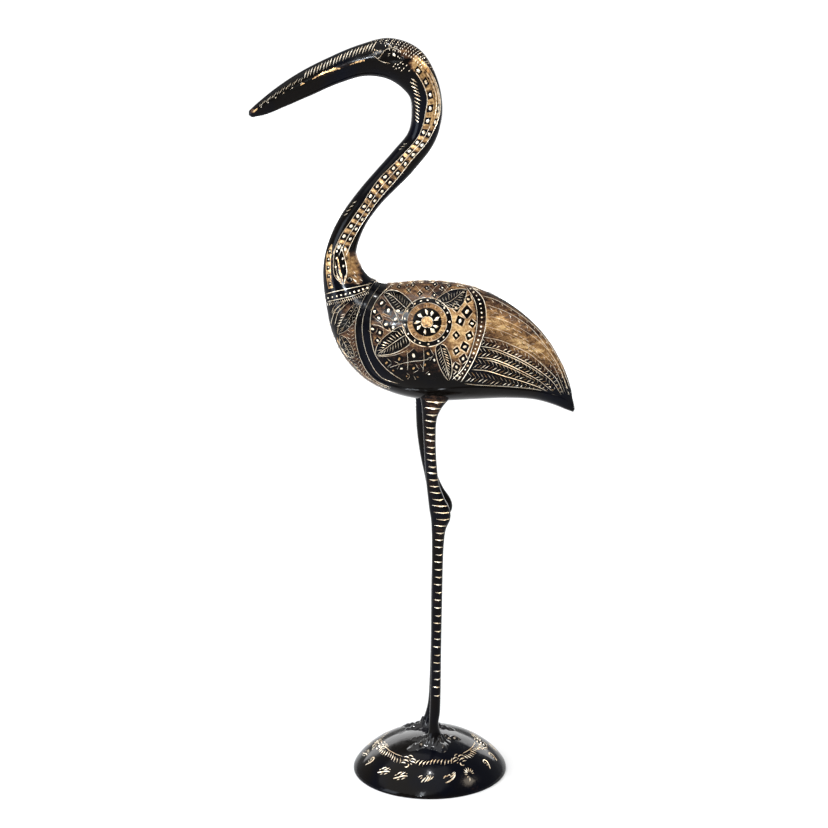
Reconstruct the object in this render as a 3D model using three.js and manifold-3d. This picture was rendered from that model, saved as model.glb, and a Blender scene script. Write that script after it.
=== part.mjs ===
// A standing crane in black-lacquered cast brass, engraved all over, on a round domed base.
// Units are millimetres, +Z is up and the bird looks along -X.
// The origin is on the floor, midway between the tip of the bill and the tip of the tail.
import * as THREE from "three";
import { mergeVertices } from "three/addons/utils/BufferGeometryUtils.js";
import Module from "manifold-3d";

const wasm = await Module();
wasm.setup();

// Colours
const BLACK_LACQUER = { color: 0x14131a, roughness: 0.3, metalness: 0.35 };

// Base: an open dome cast as a shell, standing on its rim
const BASE_X = 13.3; // the base stands under the legs, a little behind the middle
const BASE_RADIUS = 64;
const BASE_HEIGHT = 32;
const LIP_HEIGHT = 1.5;
const DOME_TOP_POWER = 2.2; // how flat the top is
const DOME_FLANK_POWER = 1.25; // how steeply the flank meets the lip
const WALL = 4;
const BASE_SIDES = 48;
const DOME_STEPS = 6; // rings of the dome from its rim to its top
const HOLLOW_STEPS = 4; // and of the hollow under it

// Bird: one casting from the bill to the toes
const RING_SIDES = 20;
const RING_SPACING = 14; // the rings stand about this far apart
const SECTION_POWER = 2.15; // 2 is an ellipse, more is squarer
const CASTING_GAP = 0.3; // the feet stand clear of the dome by this much

// Sections of the bird from bill to tail: a point on the upper edge, the point on the
// lower edge across from it, both as [x, z], and half the width there.
const SECTIONS = [
  { at: "bill tip", upper: [-129.7, 552.6], lower: [-127.4, 548.2], half: 2 },
  { at: "bill point", upper: [-120.5, 560.9], lower: [-115.4, 550.6], half: 4.4 },
  { at: "fore bill", upper: [-105.5, 572.7], lower: [-99.6, 557], half: 6 },
  { at: "mid bill", upper: [-88, 584], lower: [-80.6, 565.1], half: 7.6 },
  { at: "bill root", upper: [-66, 595.1], lower: [-57.6, 575], half: 9.4 },
  { at: "cheek", upper: [-42, 604.9], lower: [-37.6, 580.4], half: 11.4 },
  { at: "crown", upper: [-18.5, 610], lower: [-22.6, 578.8], half: 12.6 },
  { at: "nape", upper: [4.4, 601.2], lower: [-12, 573.2], half: 12.2 },
  { at: "hind neck", upper: [18.2, 578.4], lower: [-4, 564.3], half: 11.3 },
  { at: "neck bend", upper: [22.2, 553], lower: [-2, 552], half: 10.8 },
  { at: "upper neck", upper: [17.4, 530.6], lower: [-4.6, 537], half: 10.6 },
  { at: "neck slope top", upper: [0.2, 507], lower: [-15.8, 522.8], half: 10.4 },
  { at: "neck slope foot", upper: [-27.4, 478.3], lower: [-43.4, 491], half: 10.4 },
  { at: "lower neck", upper: [-39.9, 458.9], lower: [-60.4, 466.6], half: 10.8 },
  { at: "neck foot", upper: [-45, 440.2], lower: [-70.2, 443], half: 12 },
  { at: "throat", upper: [-41.8, 431], lower: [-72.7, 426], half: 14.5 },
  { at: "neck root", upper: [-35.4, 422], lower: [-71.3, 404], half: 18.5 },
  { at: "breast", upper: [-26, 417.4], lower: [-67, 380.8], half: 23.5 },
  { at: "crop", upper: [-13.6, 417.8], lower: [-57, 358.5], half: 28.5 },
  { at: "shoulder", upper: [0.3, 419.2], lower: [-38.5, 338.5], half: 32.5 },
  { at: "wing front", upper: [16.3, 419.4], lower: [-14, 326.7], half: 35 },
  { at: "wing middle", upper: [38.5, 416.6], lower: [16, 321.4], half: 35 },
  { at: "flank", upper: [61, 409.6], lower: [47, 322.2], half: 31.5 },
  { at: "rump", upper: [84.8, 395.4], lower: [75, 323], half: 25 },
  { at: "tail root", upper: [105.7, 375.2], lower: [97, 321.4], half: 17.5 },
  { at: "mid tail", upper: [120, 351.6], lower: [112, 317], half: 10.5 },
  { at: "tail end", upper: [127.6, 330], lower: [122, 312.8], half: 5 },
  { at: "tail tip", upper: [129.6, 312.4], lower: [128.4, 310.3], half: 1.2 },
];

// Wings, carved as one raised cloak whose edge shows as a step, [x, height across the carving]
const WING_RISE = 1.2;
const WING_FRONT = [
  [-26, 412], [-38.3, 392.3], [-44.3, 375.3], [-44.3, 359.2], [-39.5, 342.1], [-30.5, 329.8], [-10.3, 321.7],
];
const WING_FOOT = [[9.9, 319.7], [44, 322.6], [79, 320.8], [100, 318.6], [119.8, 312.9], [129.5, 305.5]];
const WING_FRONT_STEPS = 9;
const WING_OVER_THE_BACK = [[150, 330], [130, 430], [-20, 440]];
const ACROSS_THE_BACK = -1; // the two wings run into each other over the spine

// Carving is laid out as it looks from the side and this many degrees above level
const CARVING_TILT = 13.4;
const CARVING_NEAR = 2; // the carved blocks run from this far off the middle plane
const CARVING_FAR = 60; // to this far
const GROOVE_WIDTH = 1.2;
const GROOVE_DEPTH = 0.7;
const CURVE_STEPS = 5;
const FEATHER_STEPS = 4;

// The medallion in the middle of the wing
const MEDALLION = { x: 10.8, up: 373.8, outer: 19.3, inner: 15.6, boss: 4.2, bossRise: 0.6 };
const MEDALLION_SIDES = 14;
const BOSS_SIDES = 10;

// Four leaves spread from the medallion to the corners of the wing: stalk, tip and half width
const LEAVES = [
  { stalk: [-4.6, 385.6], tip: [-24, 397.4], half: 5.4 },
  { stalk: [21.6, 391.2], tip: [42.2, 400.6], half: 6 },
  { stalk: [-7, 364.8], tip: [-30.3, 348.2], half: 6.2 },
  { stalk: [21, 354.8], tip: [30, 329.1], half: 5.2 },
];
const LEAF_STEPS = 3;

// A sunken band between the wing and the tail: its front and back edges
const BAND_FRONT = [[43.5, 404], [49.9, 375.3], [40, 339.2], [32, 329]];
const BAND_BACK = [[48, 404], [57, 377], [48, 344], [38.5, 328]];
// The smooth collar of the wing ends at this line
const COLLAR_LINE = [
  [-19.8, 405.6], [-28.8, 393.3], [-33.7, 382.3], [-34.7, 370.3],
  [-33.7, 359.3], [-30.3, 347.2], [-20.3, 335.1], [-6, 326],
];

// Lines between the long feathers: root, two points on the way, and where they end.
// Every other feather lies sunken between two of these lines.
const FEATHER_LINES = [
  [[47, 336.6], [71.7, 331.6], [90, 325.8], [105, 319.4]],
  [[51.6, 347], [73.6, 341.2], [95, 330.4], [112, 318.4]],
  [[55.5, 358], [78, 348.4], [100, 335.4], [118, 317.5]],
  [[58.5, 370], [82, 359.4], [104, 342.4], [120.6, 319.5]],
  [[59.5, 382], [84, 371], [106, 351], [122.4, 322]],
  [[58.5, 393], [82, 381], [105, 359.4], [123.4, 324]],
];

// Two leaves on each side of the breast
const BREAST_LEAVES = [
  { stalk: [-45.8, 390], tip: [-59.6, 367], half: 4.4 },
  { stalk: [-50.5, 392.4], tip: [-64, 379], half: 3.4 },
];
// A groove runs round the bird where the neck ends, at this share of the way from bill to tail
const NECK_END = 0.595;
const NECK_END_GROOVE = 0.003; // half its width, as a share

// The mouth runs along the skin, this many degrees down from the upper edge, between two sections
const MOUTH = { angle: 90, from: "bill point", to: "cheek" };
const EYE = { x: -16, up: 579.2, long: 4.6, tall: 2.6, rise: 0.7 };
const EYE_SIDES = 10;

// Legs: height, then x, half depth and half width of the section, and how much further
// back or forward the right leg stands at that height
const LEG_ROWS = [
  { z: 352, x: 12, fore: 14, side: 6.5, lean: -3 },
  { z: 334, x: 15.4, fore: 13, side: 6.8, lean: -3.6 },
  { z: 324, x: 16.2, fore: 10.8, side: 6.2, lean: -4.6 },
  { z: 318, x: 14.2, fore: 7.9, side: 5.6, lean: -5.2 },
  { z: 309, x: 12.6, fore: 5.8, side: 5, lean: -5.4 },
  { z: 292, x: 12.6, fore: 4.9, side: 4.7, lean: -5.5 },
  { z: 270, x: 13.6, fore: 4.8, side: 4.7, lean: -3.7 },
  { z: 254, x: 15.2, fore: 5.2, side: 4.9, lean: -1.6 },
  { z: 242, x: 18, fore: 6.7, side: 5.3, lean: -0.6 },
  { z: 233, x: 20.6, fore: 8.3, side: 5.8, lean: 0.9 },
  { z: 225, x: 21.6, fore: 8, side: 5.8, lean: 2 },
  { z: 216, x: 20.1, fore: 5.9, side: 5.1, lean: 2 },
  { z: 203, x: 19.4, fore: 4.9, side: 4.5, lean: 1 },
  { z: 156, x: 18.7, fore: 4.4, side: 4.2, lean: 0 },
  { z: 110, x: 18.2, fore: 4.2, side: 4.1, lean: 0 },
  { z: 76, x: 17.8, fore: 4.3, side: 4.2, lean: -0.4 },
  { z: 55, x: 17.2, fore: 4.3, side: 4.2, lean: -0.9 },
  { z: 46, x: 16.4, fore: 4, side: 4.2, lean: -2 },
  { z: 39, x: 16.8, fore: 5, side: 5, lean: -3.6 },
  { z: 33, x: 17.2, fore: 7.2, side: 6.8, lean: -4.6 },
  { z: 26, x: 17.4, fore: 9, side: 8.4, lean: -5 },
];
const LEG_SIDES = 10;
const HIP_HALF_GAP = 14.5; // from the middle plane to a leg's centre line, at the hip
const FOOT_HALF_GAP = 15; // and at the foot

// Toes: degrees away from straight ahead, outward, then length and thickness at the ankle
const TOES = [
  { turn: -12, length: 21, thick: 3.8 },
  { turn: 24, length: 26, thick: 4.2 },
  { turn: 112, length: 17, thick: 4.8 },
  { turn: -161, length: 24, thick: 3.6 },
];
const TOE_SIDES = 6;
const TOE_STEPS = 4;
const TOE_RISE = 5; // how high a toe starts above the dome
const TOE_POINT = 0.4; // share of its thickness left at the claw

// Meshes to closed solids and back

function solidFrom(geometry) {
  const bare = geometry.index ? geometry.toNonIndexed() : geometry.clone();
  bare.deleteAttribute("normal");
  bare.deleteAttribute("uv");
  const merged = mergeVertices(bare, 1e-4);
  const solid = new wasm.Manifold(
    new wasm.Mesh({
      numProp: 3,
      vertProperties: merged.attributes.position.array,
      triVerts: new Uint32Array(merged.index.array),
    }),
  );
  return solid.volume() > 0 ? solid : solidFrom(insideOut(merged));
}

function insideOut(geometry) {
  return geometry.clone().setIndex([...geometry.index.array].reverse());
}

function geometryFrom(solid) {
  const mesh = solid.getMesh();
  const corners = new Float32Array(mesh.numVert * 3);
  for (let i = 0; i < mesh.numVert; i++) {
    corners.set(mesh.vertProperties.subarray(i * mesh.numProp, i * mesh.numProp + 3), i * 3);
  }
  const geometry = new THREE.BufferGeometry();
  geometry.setAttribute("position", new THREE.BufferAttribute(corners, 3));
  geometry.setIndex(new THREE.BufferAttribute(new Uint32Array(mesh.triVerts), 1));
  geometry.computeVertexNormals();
  return geometry;
}

const union = (solids) => wasm.Manifold.union(solids);

function middleOf(ring) {
  return ring.reduce((sum, p) => sum.add(p), new THREE.Vector3()).divideScalar(ring.length);
}

// A closed skin over a row of rings with equal numbers of points, fanned shut at both ends.
function loft(rings) {
  const sides = rings[0].length;
  const corners = rings.flat();
  const faces = [];
  for (let row = 0; row < rings.length - 1; row++) {
    for (let i = 0; i < sides; i++) {
      const a = row * sides + i;
      const b = row * sides + ((i + 1) % sides);
      faces.push(a, b, b + sides, a, b + sides, a + sides);
    }
  }
  const last = (rings.length - 1) * sides;
  const firstPole = corners.push(middleOf(rings[0])) - 1;
  const lastPole = corners.push(middleOf(rings.at(-1))) - 1;
  for (let i = 0; i < sides; i++) {
    const next = (i + 1) % sides;
    faces.push(firstPole, next, i, lastPole, last + i, last + next);
  }
  return solidFrom(new THREE.BufferGeometry().setFromPoints(corners).setIndex(faces));
}

// The skin of the bill, head, neck, body and tail

const upperEdge = edgeCurve("upper");
const lowerEdge = edgeCurve("lower");

// One edge of the bird as a curve; its y holds half the bird's width there.
function edgeCurve(edge) {
  const points = SECTIONS.map((s) => new THREE.Vector3(s[edge][0], s.half, s[edge][1]));
  return new THREE.CatmullRomCurve3(points, false, "centripetal");
}

const rounded = (value) => Math.sign(value) * Math.abs(value) ** (2 / SECTION_POWER);

// The point of the skin at share t of the way from bill to tail and at an angle down from
// the upper edge, with the skin grown outward by grow.
function skinPoint(t, angle, grow) {
  const upper = upperEdge.getPoint(t);
  const lower = lowerEdge.getPoint(t);
  const half = upper.y + grow;
  upper.y = 0;
  lower.y = 0;
  const middle = upper.clone().add(lower).divideScalar(2);
  const rise = upper.sub(middle);
  rise.setLength(rise.length() + grow);
  const point = middle.addScaledVector(rise, rounded(Math.cos(angle)));
  point.y = half * rounded(Math.sin(angle));
  return point;
}

const spans = SECTIONS.length - 1;
const shareOf = (name) => SECTIONS.findIndex((s) => s.at === name) / spans;

// Shares at which rings are set, so that they stand about RING_SPACING apart.
function ringShares() {
  const shares = [0];
  for (let span = 0; span < spans; span++) {
    const [here, next] = [span / spans, (span + 1) / spans];
    const length = Math.max(
      upperEdge.getPoint(here).distanceTo(upperEdge.getPoint(next)),
      lowerEdge.getPoint(here).distanceTo(lowerEdge.getPoint(next)),
    );
    const steps = Math.max(1, Math.round(length / RING_SPACING));
    for (let step = 1; step <= steps; step++) shares.push(here + (step / steps) * (next - here));
  }
  return shares;
}

function birdRing(t, grow) {
  return Array.from({ length: RING_SIDES }, (_, i) => skinPoint(t, (2 * Math.PI * i) / RING_SIDES, grow));
}

function birdSkin(grow) {
  return loft(ringShares().map((t) => birdRing(t, grow)));
}

// The skin itself, with a groove let in where the neck ends.
function bareSkin() {
  const [before, after] = [NECK_END - NECK_END_GROOVE, NECK_END + NECK_END_GROOVE];
  const plain = ringShares().filter((t) => t < before || t > after);
  const shares = [...plain, before, NECK_END, after].sort((a, b) => a - b);
  return loft(shares.map((t) => birdRing(t, t === NECK_END ? -GROOVE_DEPTH : 0)));
}

// Carving tools

// An outline in the carving's own plane as two blocks, one through each side of the bird.
function carvingBlocks(outline, near = CARVING_NEAR) {
  const shape = new THREE.Shape(outline.map(([x, up]) => new THREE.Vector2(x, up)));
  const depth = CARVING_FAR - near;
  const tilt = THREE.MathUtils.degToRad(CARVING_TILT);
  return [-1, 1].map((side) => {
    const block = new THREE.ExtrudeGeometry(shape, { depth, bevelEnabled: false });
    block.translate(0, 0, near);
    const lean = new THREE.Matrix4();
    lean.set(1, 0, 0, 0, 0, 0, side, 0, 0, 1 / Math.cos(tilt), Math.tan(tilt), 0, 0, 0, 0, 1);
    return solidFrom(block.applyMatrix4(lean));
  });
}

// A smooth line through a few [x, up] points.
function smoothLine(points, steps) {
  const curve = new THREE.SplineCurve(points.map(([x, up]) => new THREE.Vector2(x, up)));
  return curve.getPoints(steps).map((p) => [p.x, p.y]);
}

// A line widened to a groove's width.
function grooveBlocks(line) {
  const left = [];
  const right = [];
  line.forEach(([x, up], i) => {
    const [ax, aUp] = line[Math.max(0, i - 1)];
    const [bx, bUp] = line[Math.min(line.length - 1, i + 1)];
    const length = Math.hypot(bx - ax, bUp - aUp);
    const nx = ((aUp - bUp) / length) * (GROOVE_WIDTH / 2);
    const nUp = ((bx - ax) / length) * (GROOVE_WIDTH / 2);
    left.push([x + nx, up + nUp]);
    right.push([x - nx, up - nUp]);
  });
  return carvingBlocks([...left, ...right.reverse()]);
}

function circle({ x, up }, radius, sides) {
  return Array.from({ length: sides }, (_, i) => {
    const turn = (2 * Math.PI * i) / sides;
    return [x + radius * Math.cos(turn), up + radius * Math.sin(turn)];
  });
}

// A leaf as a sunken almond between its stalk and its tip.
function leafBlocks({ stalk, tip, half }) {
  const [dx, dUp] = [tip[0] - stalk[0], tip[1] - stalk[1]];
  const length = Math.hypot(dx, dUp);
  const outline = Array.from({ length: 2 * LEAF_STEPS }, (_, i) => {
    const turn = (Math.PI * i) / LEAF_STEPS;
    const along = (1 - Math.cos(turn)) / 2;
    const bow = (half * Math.sin(turn) * Math.abs(Math.sin(turn))) / length;
    return [stalk[0] + dx * along - dUp * bow, stalk[1] + dUp * along + dx * bow];
  });
  return carvingBlocks(outline);
}

// The line between the two halves of the bill, as a thin four-sided rod on each side to cut with.
function mouth() {
  const shares = ringShares().filter((t) => t >= shareOf(MOUTH.from) && t <= shareOf(MOUTH.to));
  const rods = [-1, 1].map((side) => {
    const path = shares.map((t) => skinPoint(t, side * THREE.MathUtils.degToRad(MOUTH.angle), 0));
    const rings = path.map((point, i) => {
      const ahead = path[Math.min(path.length - 1, i + 1)].clone().sub(path[Math.max(0, i - 1)]).normalize();
      const outward = new THREE.Vector3(0, side, 0).addScaledVector(ahead, -side * ahead.y).normalize();
      const across = new THREE.Vector3().crossVectors(ahead, outward);
      return [outward, across, outward.clone().negate(), across.clone().negate()].map((way) =>
        point.clone().addScaledVector(way, GROOVE_DEPTH),
      );
    });
    return loft(rings);
  });
  return union(rods);
}

// The body with its wings and carving

function wings() {
  const outline = [...smoothLine(WING_FRONT, WING_FRONT_STEPS), ...WING_FOOT, ...WING_OVER_THE_BACK];
  return birdSkin(WING_RISE).intersect(union(carvingBlocks(outline, ACROSS_THE_BACK)));
}

function sunkenFeathers() {
  const lines = FEATHER_LINES.map((line) => smoothLine(line, FEATHER_STEPS));
  return lines.flatMap((line, i) => (i % 2 ? carvingBlocks([...lines[i - 1], ...line.reverse()]) : []));
}

function wingCarving() {
  const outerDisc = union(carvingBlocks(circle(MEDALLION, MEDALLION.outer, MEDALLION_SIDES)));
  const innerDisc = union(carvingBlocks(circle(MEDALLION, MEDALLION.inner, MEDALLION_SIDES)));
  const band = [...smoothLine(BAND_FRONT, CURVE_STEPS), ...smoothLine(BAND_BACK, CURVE_STEPS).reverse()];
  return union([
    ...sunkenFeathers(),
    ...grooveBlocks(smoothLine(COLLAR_LINE, CURVE_STEPS)),
    ...carvingBlocks(band),
    ...LEAVES.flatMap(leafBlocks),
    outerDisc.subtract(innerDisc),
  ]).subtract(birdSkin(WING_RISE - GROOVE_DEPTH));
}

function breastCarving() {
  return union(BREAST_LEAVES.flatMap(leafBlocks)).subtract(birdSkin(-GROOVE_DEPTH));
}

function body() {
  const boss = birdSkin(WING_RISE + MEDALLION.bossRise).intersect(
    union(carvingBlocks(circle(MEDALLION, MEDALLION.boss, BOSS_SIDES))),
  );
  const shape = bareSkin().subtract(breastCarving()).subtract(mouth()).add(wings());
  return union([shape.subtract(wingCarving()), boss, eyes()]);
}

function eyes() {
  const outline = circle({ x: 0, up: 0 }, 1, EYE_SIDES).map(([x, up]) => [
    EYE.x + EYE.long * x,
    EYE.up + EYE.tall * up,
  ]);
  return birdSkin(EYE.rise).intersect(union(carvingBlocks(outline)));
}

// Legs and feet

// One leg; side is -1 for the bird's left and 1 for its right.
function leg(side) {
  const rings = LEG_ROWS.map((row) => {
    const y = side * THREE.MathUtils.mapLinear(row.z, 0, LEG_ROWS[0].z, FOOT_HALF_GAP, HIP_HALF_GAP);
    const x = row.x + (side > 0 ? row.lean : 0);
    return Array.from({ length: LEG_SIDES }, (_, i) => {
      const turn = (2 * Math.PI * i) / LEG_SIDES;
      return new THREE.Vector3(x + row.fore * Math.cos(turn), y + row.side * Math.sin(turn), row.z);
    });
  });
  return loft(rings);
}

// Height of the dome's outside at a distance from its axis.
function domeHeight(distance) {
  const share = Math.min(1, distance / BASE_RADIUS);
  const fall = (1 - share ** DOME_TOP_POWER) ** (1 / DOME_FLANK_POWER);
  return LIP_HEIGHT + (BASE_HEIGHT - LIP_HEIGHT) * fall;
}

// One toe: a soft ridge that leaves the ankle and sinks to the dome at its claw.
function toe(side, { turn, length, thick }) {
  const foot = LEG_ROWS.at(-1);
  const ankleX = foot.x + (side > 0 ? foot.lean : 0);
  const ankleY = side * FOOT_HALF_GAP;
  const heading = THREE.MathUtils.degToRad(180 - side * turn);
  const across = new THREE.Vector3(-Math.sin(heading), Math.cos(heading), 0);
  const rings = Array.from({ length: TOE_STEPS + 1 }, (_, step) => {
    const along = step / TOE_STEPS;
    const x = ankleX + length * along * Math.cos(heading);
    const y = ankleY + length * along * Math.sin(heading);
    const radius = thick * THREE.MathUtils.lerp(1, TOE_POINT, along);
    const z = domeHeight(Math.hypot(x - BASE_X, y)) + TOE_RISE * (1 - along) ** 2;
    return Array.from({ length: TOE_SIDES }, (_, i) => {
      const angle = (2 * Math.PI * i) / TOE_SIDES;
      const centre = new THREE.Vector3(x, y, z + radius * Math.sin(angle));
      return centre.addScaledVector(across, radius * Math.cos(angle));
    });
  });
  return loft(rings);
}

// The base

// Distances from the axis at which the dome's profile has a point, from the rim inward.
function domeRadii(radius, steps) {
  return Array.from({ length: steps + 1 }, (_, i) =>
    i === steps ? 0 : radius * Math.cos((i / steps) * (Math.PI / 2)),
  );
}

// A profile of [distance, height] points turned about the axis of the base.
function turned(profile) {
  const lathe = new THREE.LatheGeometry(
    profile.map(([distance, z]) => new THREE.Vector2(distance, z)),
    BASE_SIDES,
  );
  lathe.rotateX(Math.PI / 2);
  lathe.translate(BASE_X, 0, 0);
  return solidFrom(lathe);
}

// The dome as a shell that is open below.
function base() {
  const outside = domeRadii(BASE_RADIUS, DOME_STEPS).map((r) => [r, domeHeight(r)]);
  const inner = BASE_RADIUS - WALL;
  const stretch = BASE_RADIUS / inner;
  const inside = domeRadii(inner, HOLLOW_STEPS).map((r) => [r, domeHeight(r * stretch) - WALL]);
  inside[0] = [inner, 0];
  return turned([[BASE_RADIUS, 0], ...outside, ...inside.reverse(), [BASE_RADIUS, 0]]);
}

// The room that the bird's feet leave for the dome.
function domeRoom() {
  const outside = domeRadii(BASE_RADIUS, DOME_STEPS).map((r) => [r, domeHeight(r) + CASTING_GAP]);
  return turned([[0, 0], [BASE_RADIUS, 0], ...outside]);
}

function crane() {
  const limbs = [-1, 1].flatMap((side) => [leg(side), ...TOES.map((shape) => toe(side, shape))]);
  return union([body(), ...limbs]).subtract(domeRoom());
}

function meshOf(name, solid, finish) {
  const mesh = new THREE.Mesh(geometryFrom(solid), new THREE.MeshStandardMaterial(finish));
  mesh.name = name;
  return mesh;
}

const statue = new THREE.Group();
statue.name = "crane_statue";
statue.add(meshOf("crane", crane(), BLACK_LACQUER));
statue.add(meshOf("base", base(), BLACK_LACQUER));

export default statue;
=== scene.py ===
# The standing crane as it looks: cast brass under black lacquer, cut through by hand engraving.
# Lengths are in millimetres until a mesh is made from them, and the bird looks along -X.
import math

import bpy
import numpy as np
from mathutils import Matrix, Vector
from mathutils.geometry import delaunay_2d_cdt
from mathutils.kdtree import KDTree


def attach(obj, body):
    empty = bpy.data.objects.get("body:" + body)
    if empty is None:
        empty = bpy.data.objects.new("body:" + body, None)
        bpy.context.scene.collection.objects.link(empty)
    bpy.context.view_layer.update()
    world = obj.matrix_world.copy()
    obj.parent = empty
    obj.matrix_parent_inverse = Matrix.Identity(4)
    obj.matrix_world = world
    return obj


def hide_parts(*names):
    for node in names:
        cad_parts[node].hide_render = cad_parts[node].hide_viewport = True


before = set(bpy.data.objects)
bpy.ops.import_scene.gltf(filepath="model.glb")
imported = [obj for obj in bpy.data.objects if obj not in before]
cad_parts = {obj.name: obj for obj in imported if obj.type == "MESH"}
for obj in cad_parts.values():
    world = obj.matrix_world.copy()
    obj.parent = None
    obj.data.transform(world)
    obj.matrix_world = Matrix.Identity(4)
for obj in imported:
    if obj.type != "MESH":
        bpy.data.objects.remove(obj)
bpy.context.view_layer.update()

MM = 0.001

# Sections of the bird from bill to tail: a point on the upper edge, the point on the lower
# edge across from it, both as x and z, and half the width there.
SECTIONS = [
    ((-129.7, 552.6), (-127.4, 548.2), 2),
    ((-120.5, 560.9), (-115.4, 550.6), 4.4),
    ((-105.5, 572.7), (-99.6, 557), 6),
    ((-88, 584), (-80.6, 565.1), 7.6),
    ((-66, 595.1), (-57.6, 575), 9.4),
    ((-42, 604.9), (-37.6, 580.4), 11.4),
    ((-18.5, 610), (-22.6, 578.8), 12.6),
    ((4.4, 601.2), (-12, 573.2), 12.2),
    ((18.2, 578.4), (-4, 564.3), 11.3),
    ((22.2, 553), (-2, 552), 10.8),
    ((17.4, 530.6), (-4.6, 537), 10.6),
    ((0.2, 507), (-15.8, 522.8), 10.4),
    ((-27.4, 478.3), (-43.4, 491), 10.4),
    ((-39.9, 458.9), (-60.4, 466.6), 10.8),
    ((-45, 440.2), (-70.2, 443), 12),
    ((-41.8, 431), (-72.7, 426), 14.5),
    ((-35.4, 422), (-71.3, 404), 18.5),
    ((-26, 417.4), (-67, 380.8), 23.5),
    ((-13.6, 417.8), (-57, 358.5), 28.5),
    ((0.3, 419.2), (-38.5, 338.5), 32.5),
    ((16.3, 419.4), (-14, 326.7), 35),
    ((38.5, 416.6), (16, 321.4), 35),
    ((61, 409.6), (47, 322.2), 31.5),
    ((84.8, 395.4), (75, 323), 25),
    ((105.7, 375.2), (97, 321.4), 17.5),
    ((120, 351.6), (112, 317), 10.5),
    ((127.6, 330), (122, 312.8), 5),
    ((129.6, 312.4), (128.4, 310.3), 1.2),
]
SECTION_POWER = 2.15
BILL_ROUNDING = 0.008  # share of the bird over which the bill's tip is rounded off
TAIL_ROUNDING = 0.0015

# The side of the bird is laid out as it looks from this many degrees above level.
CARVING_TILT = math.radians(13.4)

# Kinds of face, which are also material slots
LACQUER, CUT, BLACK, BRASS, WET = range(5)


# Curves

def smooth(points, count):
    """A centripetal curve through the points, sampled evenly in its own share."""
    points = np.array(points, float)
    padded = np.vstack([2 * points[0] - points[1], points, 2 * points[-1] - points[-2]])
    shares = np.linspace(0, len(points) - 1, count)
    spans = np.minimum(shares.astype(int), len(points) - 2)
    weight = (shares - spans)[:, None]
    p0, p1, p2, p3 = (padded[spans + k] for k in range(4))
    pairs = ((p0, p1), (p1, p2), (p2, p3))
    d0, d1, d2 = (np.sum((b - a) ** 2, 1, keepdims=True) ** 0.25 for a, b in pairs)
    m1 = ((p1 - p0) / d0 - (p2 - p0) / (d0 + d1) + (p2 - p1) / d1) * d1
    m2 = ((p2 - p1) / d1 - (p3 - p1) / (d1 + d2) + (p3 - p2) / d2) * d1
    c2 = -3 * p1 + 3 * p2 - 2 * m1 - m2
    c3 = 2 * p1 - 2 * p2 + m1 + m2
    return p1 + m1 * weight + c2 * weight**2 + c3 * weight**3


def lengths(path):
    """Distance along a path to each of its points."""
    steps = np.linalg.norm(np.diff(path, axis=0), axis=1)
    return np.concatenate([[0], np.cumsum(steps)])


def unit(rows):
    """The rows scaled to a length of 1."""
    return rows / np.maximum(np.linalg.norm(rows, axis=1, keepdims=True), 1e-12)


def leftward(path):
    """The direction to the left of a flat path at each of its points."""
    way = unit(np.gradient(path, axis=0))
    return np.stack([-way[:, 1], way[:, 0]], 1)


def tree_of(places):
    """A search tree over flat places."""
    tree = KDTree(len(places))
    for number, (across, up) in enumerate(places):
        tree.insert((across, up, 0), number)
    tree.balance()
    return tree


def resample(path, spacing):
    """The path again, with points about the spacing apart."""
    path = np.array(path, float)
    along = lengths(path)
    count = max(2, round(along[-1] / spacing) + 1)
    places = np.linspace(0, along[-1], count)
    return np.stack([np.interp(places, along, path[:, k]) for k in range(path.shape[1])], 1)


def curve(points, count, spacing):
    """A smooth curve through the points, resampled to the spacing."""
    return resample(smooth(points, count), spacing)


def at_share(path, shares):
    """Points at shares of a path's length."""
    along = lengths(path)
    places = np.asarray(shares) * along[-1]
    return np.stack([np.interp(places, along, path[:, k]) for k in range(path.shape[1])], -1)


def heading_at(path, share):
    """A point of a path, the direction there and the direction to its left."""
    here, ahead = at_share(path, [share, min(1, share + 0.01)])
    way = (ahead - here) / max(np.linalg.norm(ahead - here), 1e-9)
    return here, way, np.array([-way[1], way[0]])


def rounded(value):
    """Makes an oval section slightly squarer."""
    return np.sign(value) * np.abs(value) ** (2 / SECTION_POWER)


# The skin of the bird at a share t of the way from bill to tail and an angle down from its
# upper edge, on the side that the camera sees.

SAMPLES = 100 * (len(SECTIONS) - 1) + 1
SHARES = np.linspace(0, 1, SAMPLES)
UPPER = smooth([(*upper, half) for upper, lower, half in SECTIONS], SAMPLES)
LOWER = smooth([lower for upper, lower, half in SECTIONS], SAMPLES)


def skin(t, angle, tips=True):
    """Points of the skin, with the tips of bill and tail rounded off or left as they are."""
    upper = [np.interp(t, SHARES, UPPER[:, k]) for k in range(2)]
    lower = [np.interp(t, SHARES, LOWER[:, k]) for k in range(2)]
    half = np.interp(t, SHARES, UPPER[:, 2])
    scale = 1.0
    if tips:
        bill = np.clip(1 - t / BILL_ROUNDING, 0, 1)
        tail = np.clip(1 - (1 - t) / TAIL_ROUNDING, 0, 1)
        scale = np.sqrt(np.clip(1 - bill**2 - tail**2, 0, 1))
    down = rounded(np.cos(angle)) * scale
    out = rounded(np.sin(angle)) * scale
    x, z = ((u + l) / 2 + (u - l) / 2 * down for u, l in zip(upper, lower))
    return np.stack([x, -half * out, z], -1)


# A flat chart of that side: s runs along the middle of the side, g across it from back to belly.

SIDE_LENGTH = lengths(skin(SHARES, np.full(SAMPLES, math.pi / 2), False))
FAN = np.linspace(0, math.pi, 61)
GIRTH = np.array([lengths(skin(np.full(61, t), FAN, False))[-1] for t in SHARES[::20]])
GIRTH = np.interp(SHARES, SHARES[::20], GIRTH)


def to_chart(t, angle):
    girth = np.interp(t, SHARES, GIRTH)
    return np.stack([np.interp(t, SHARES, SIDE_LENGTH), girth * (angle / math.pi - 0.5)], -1)


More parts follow.
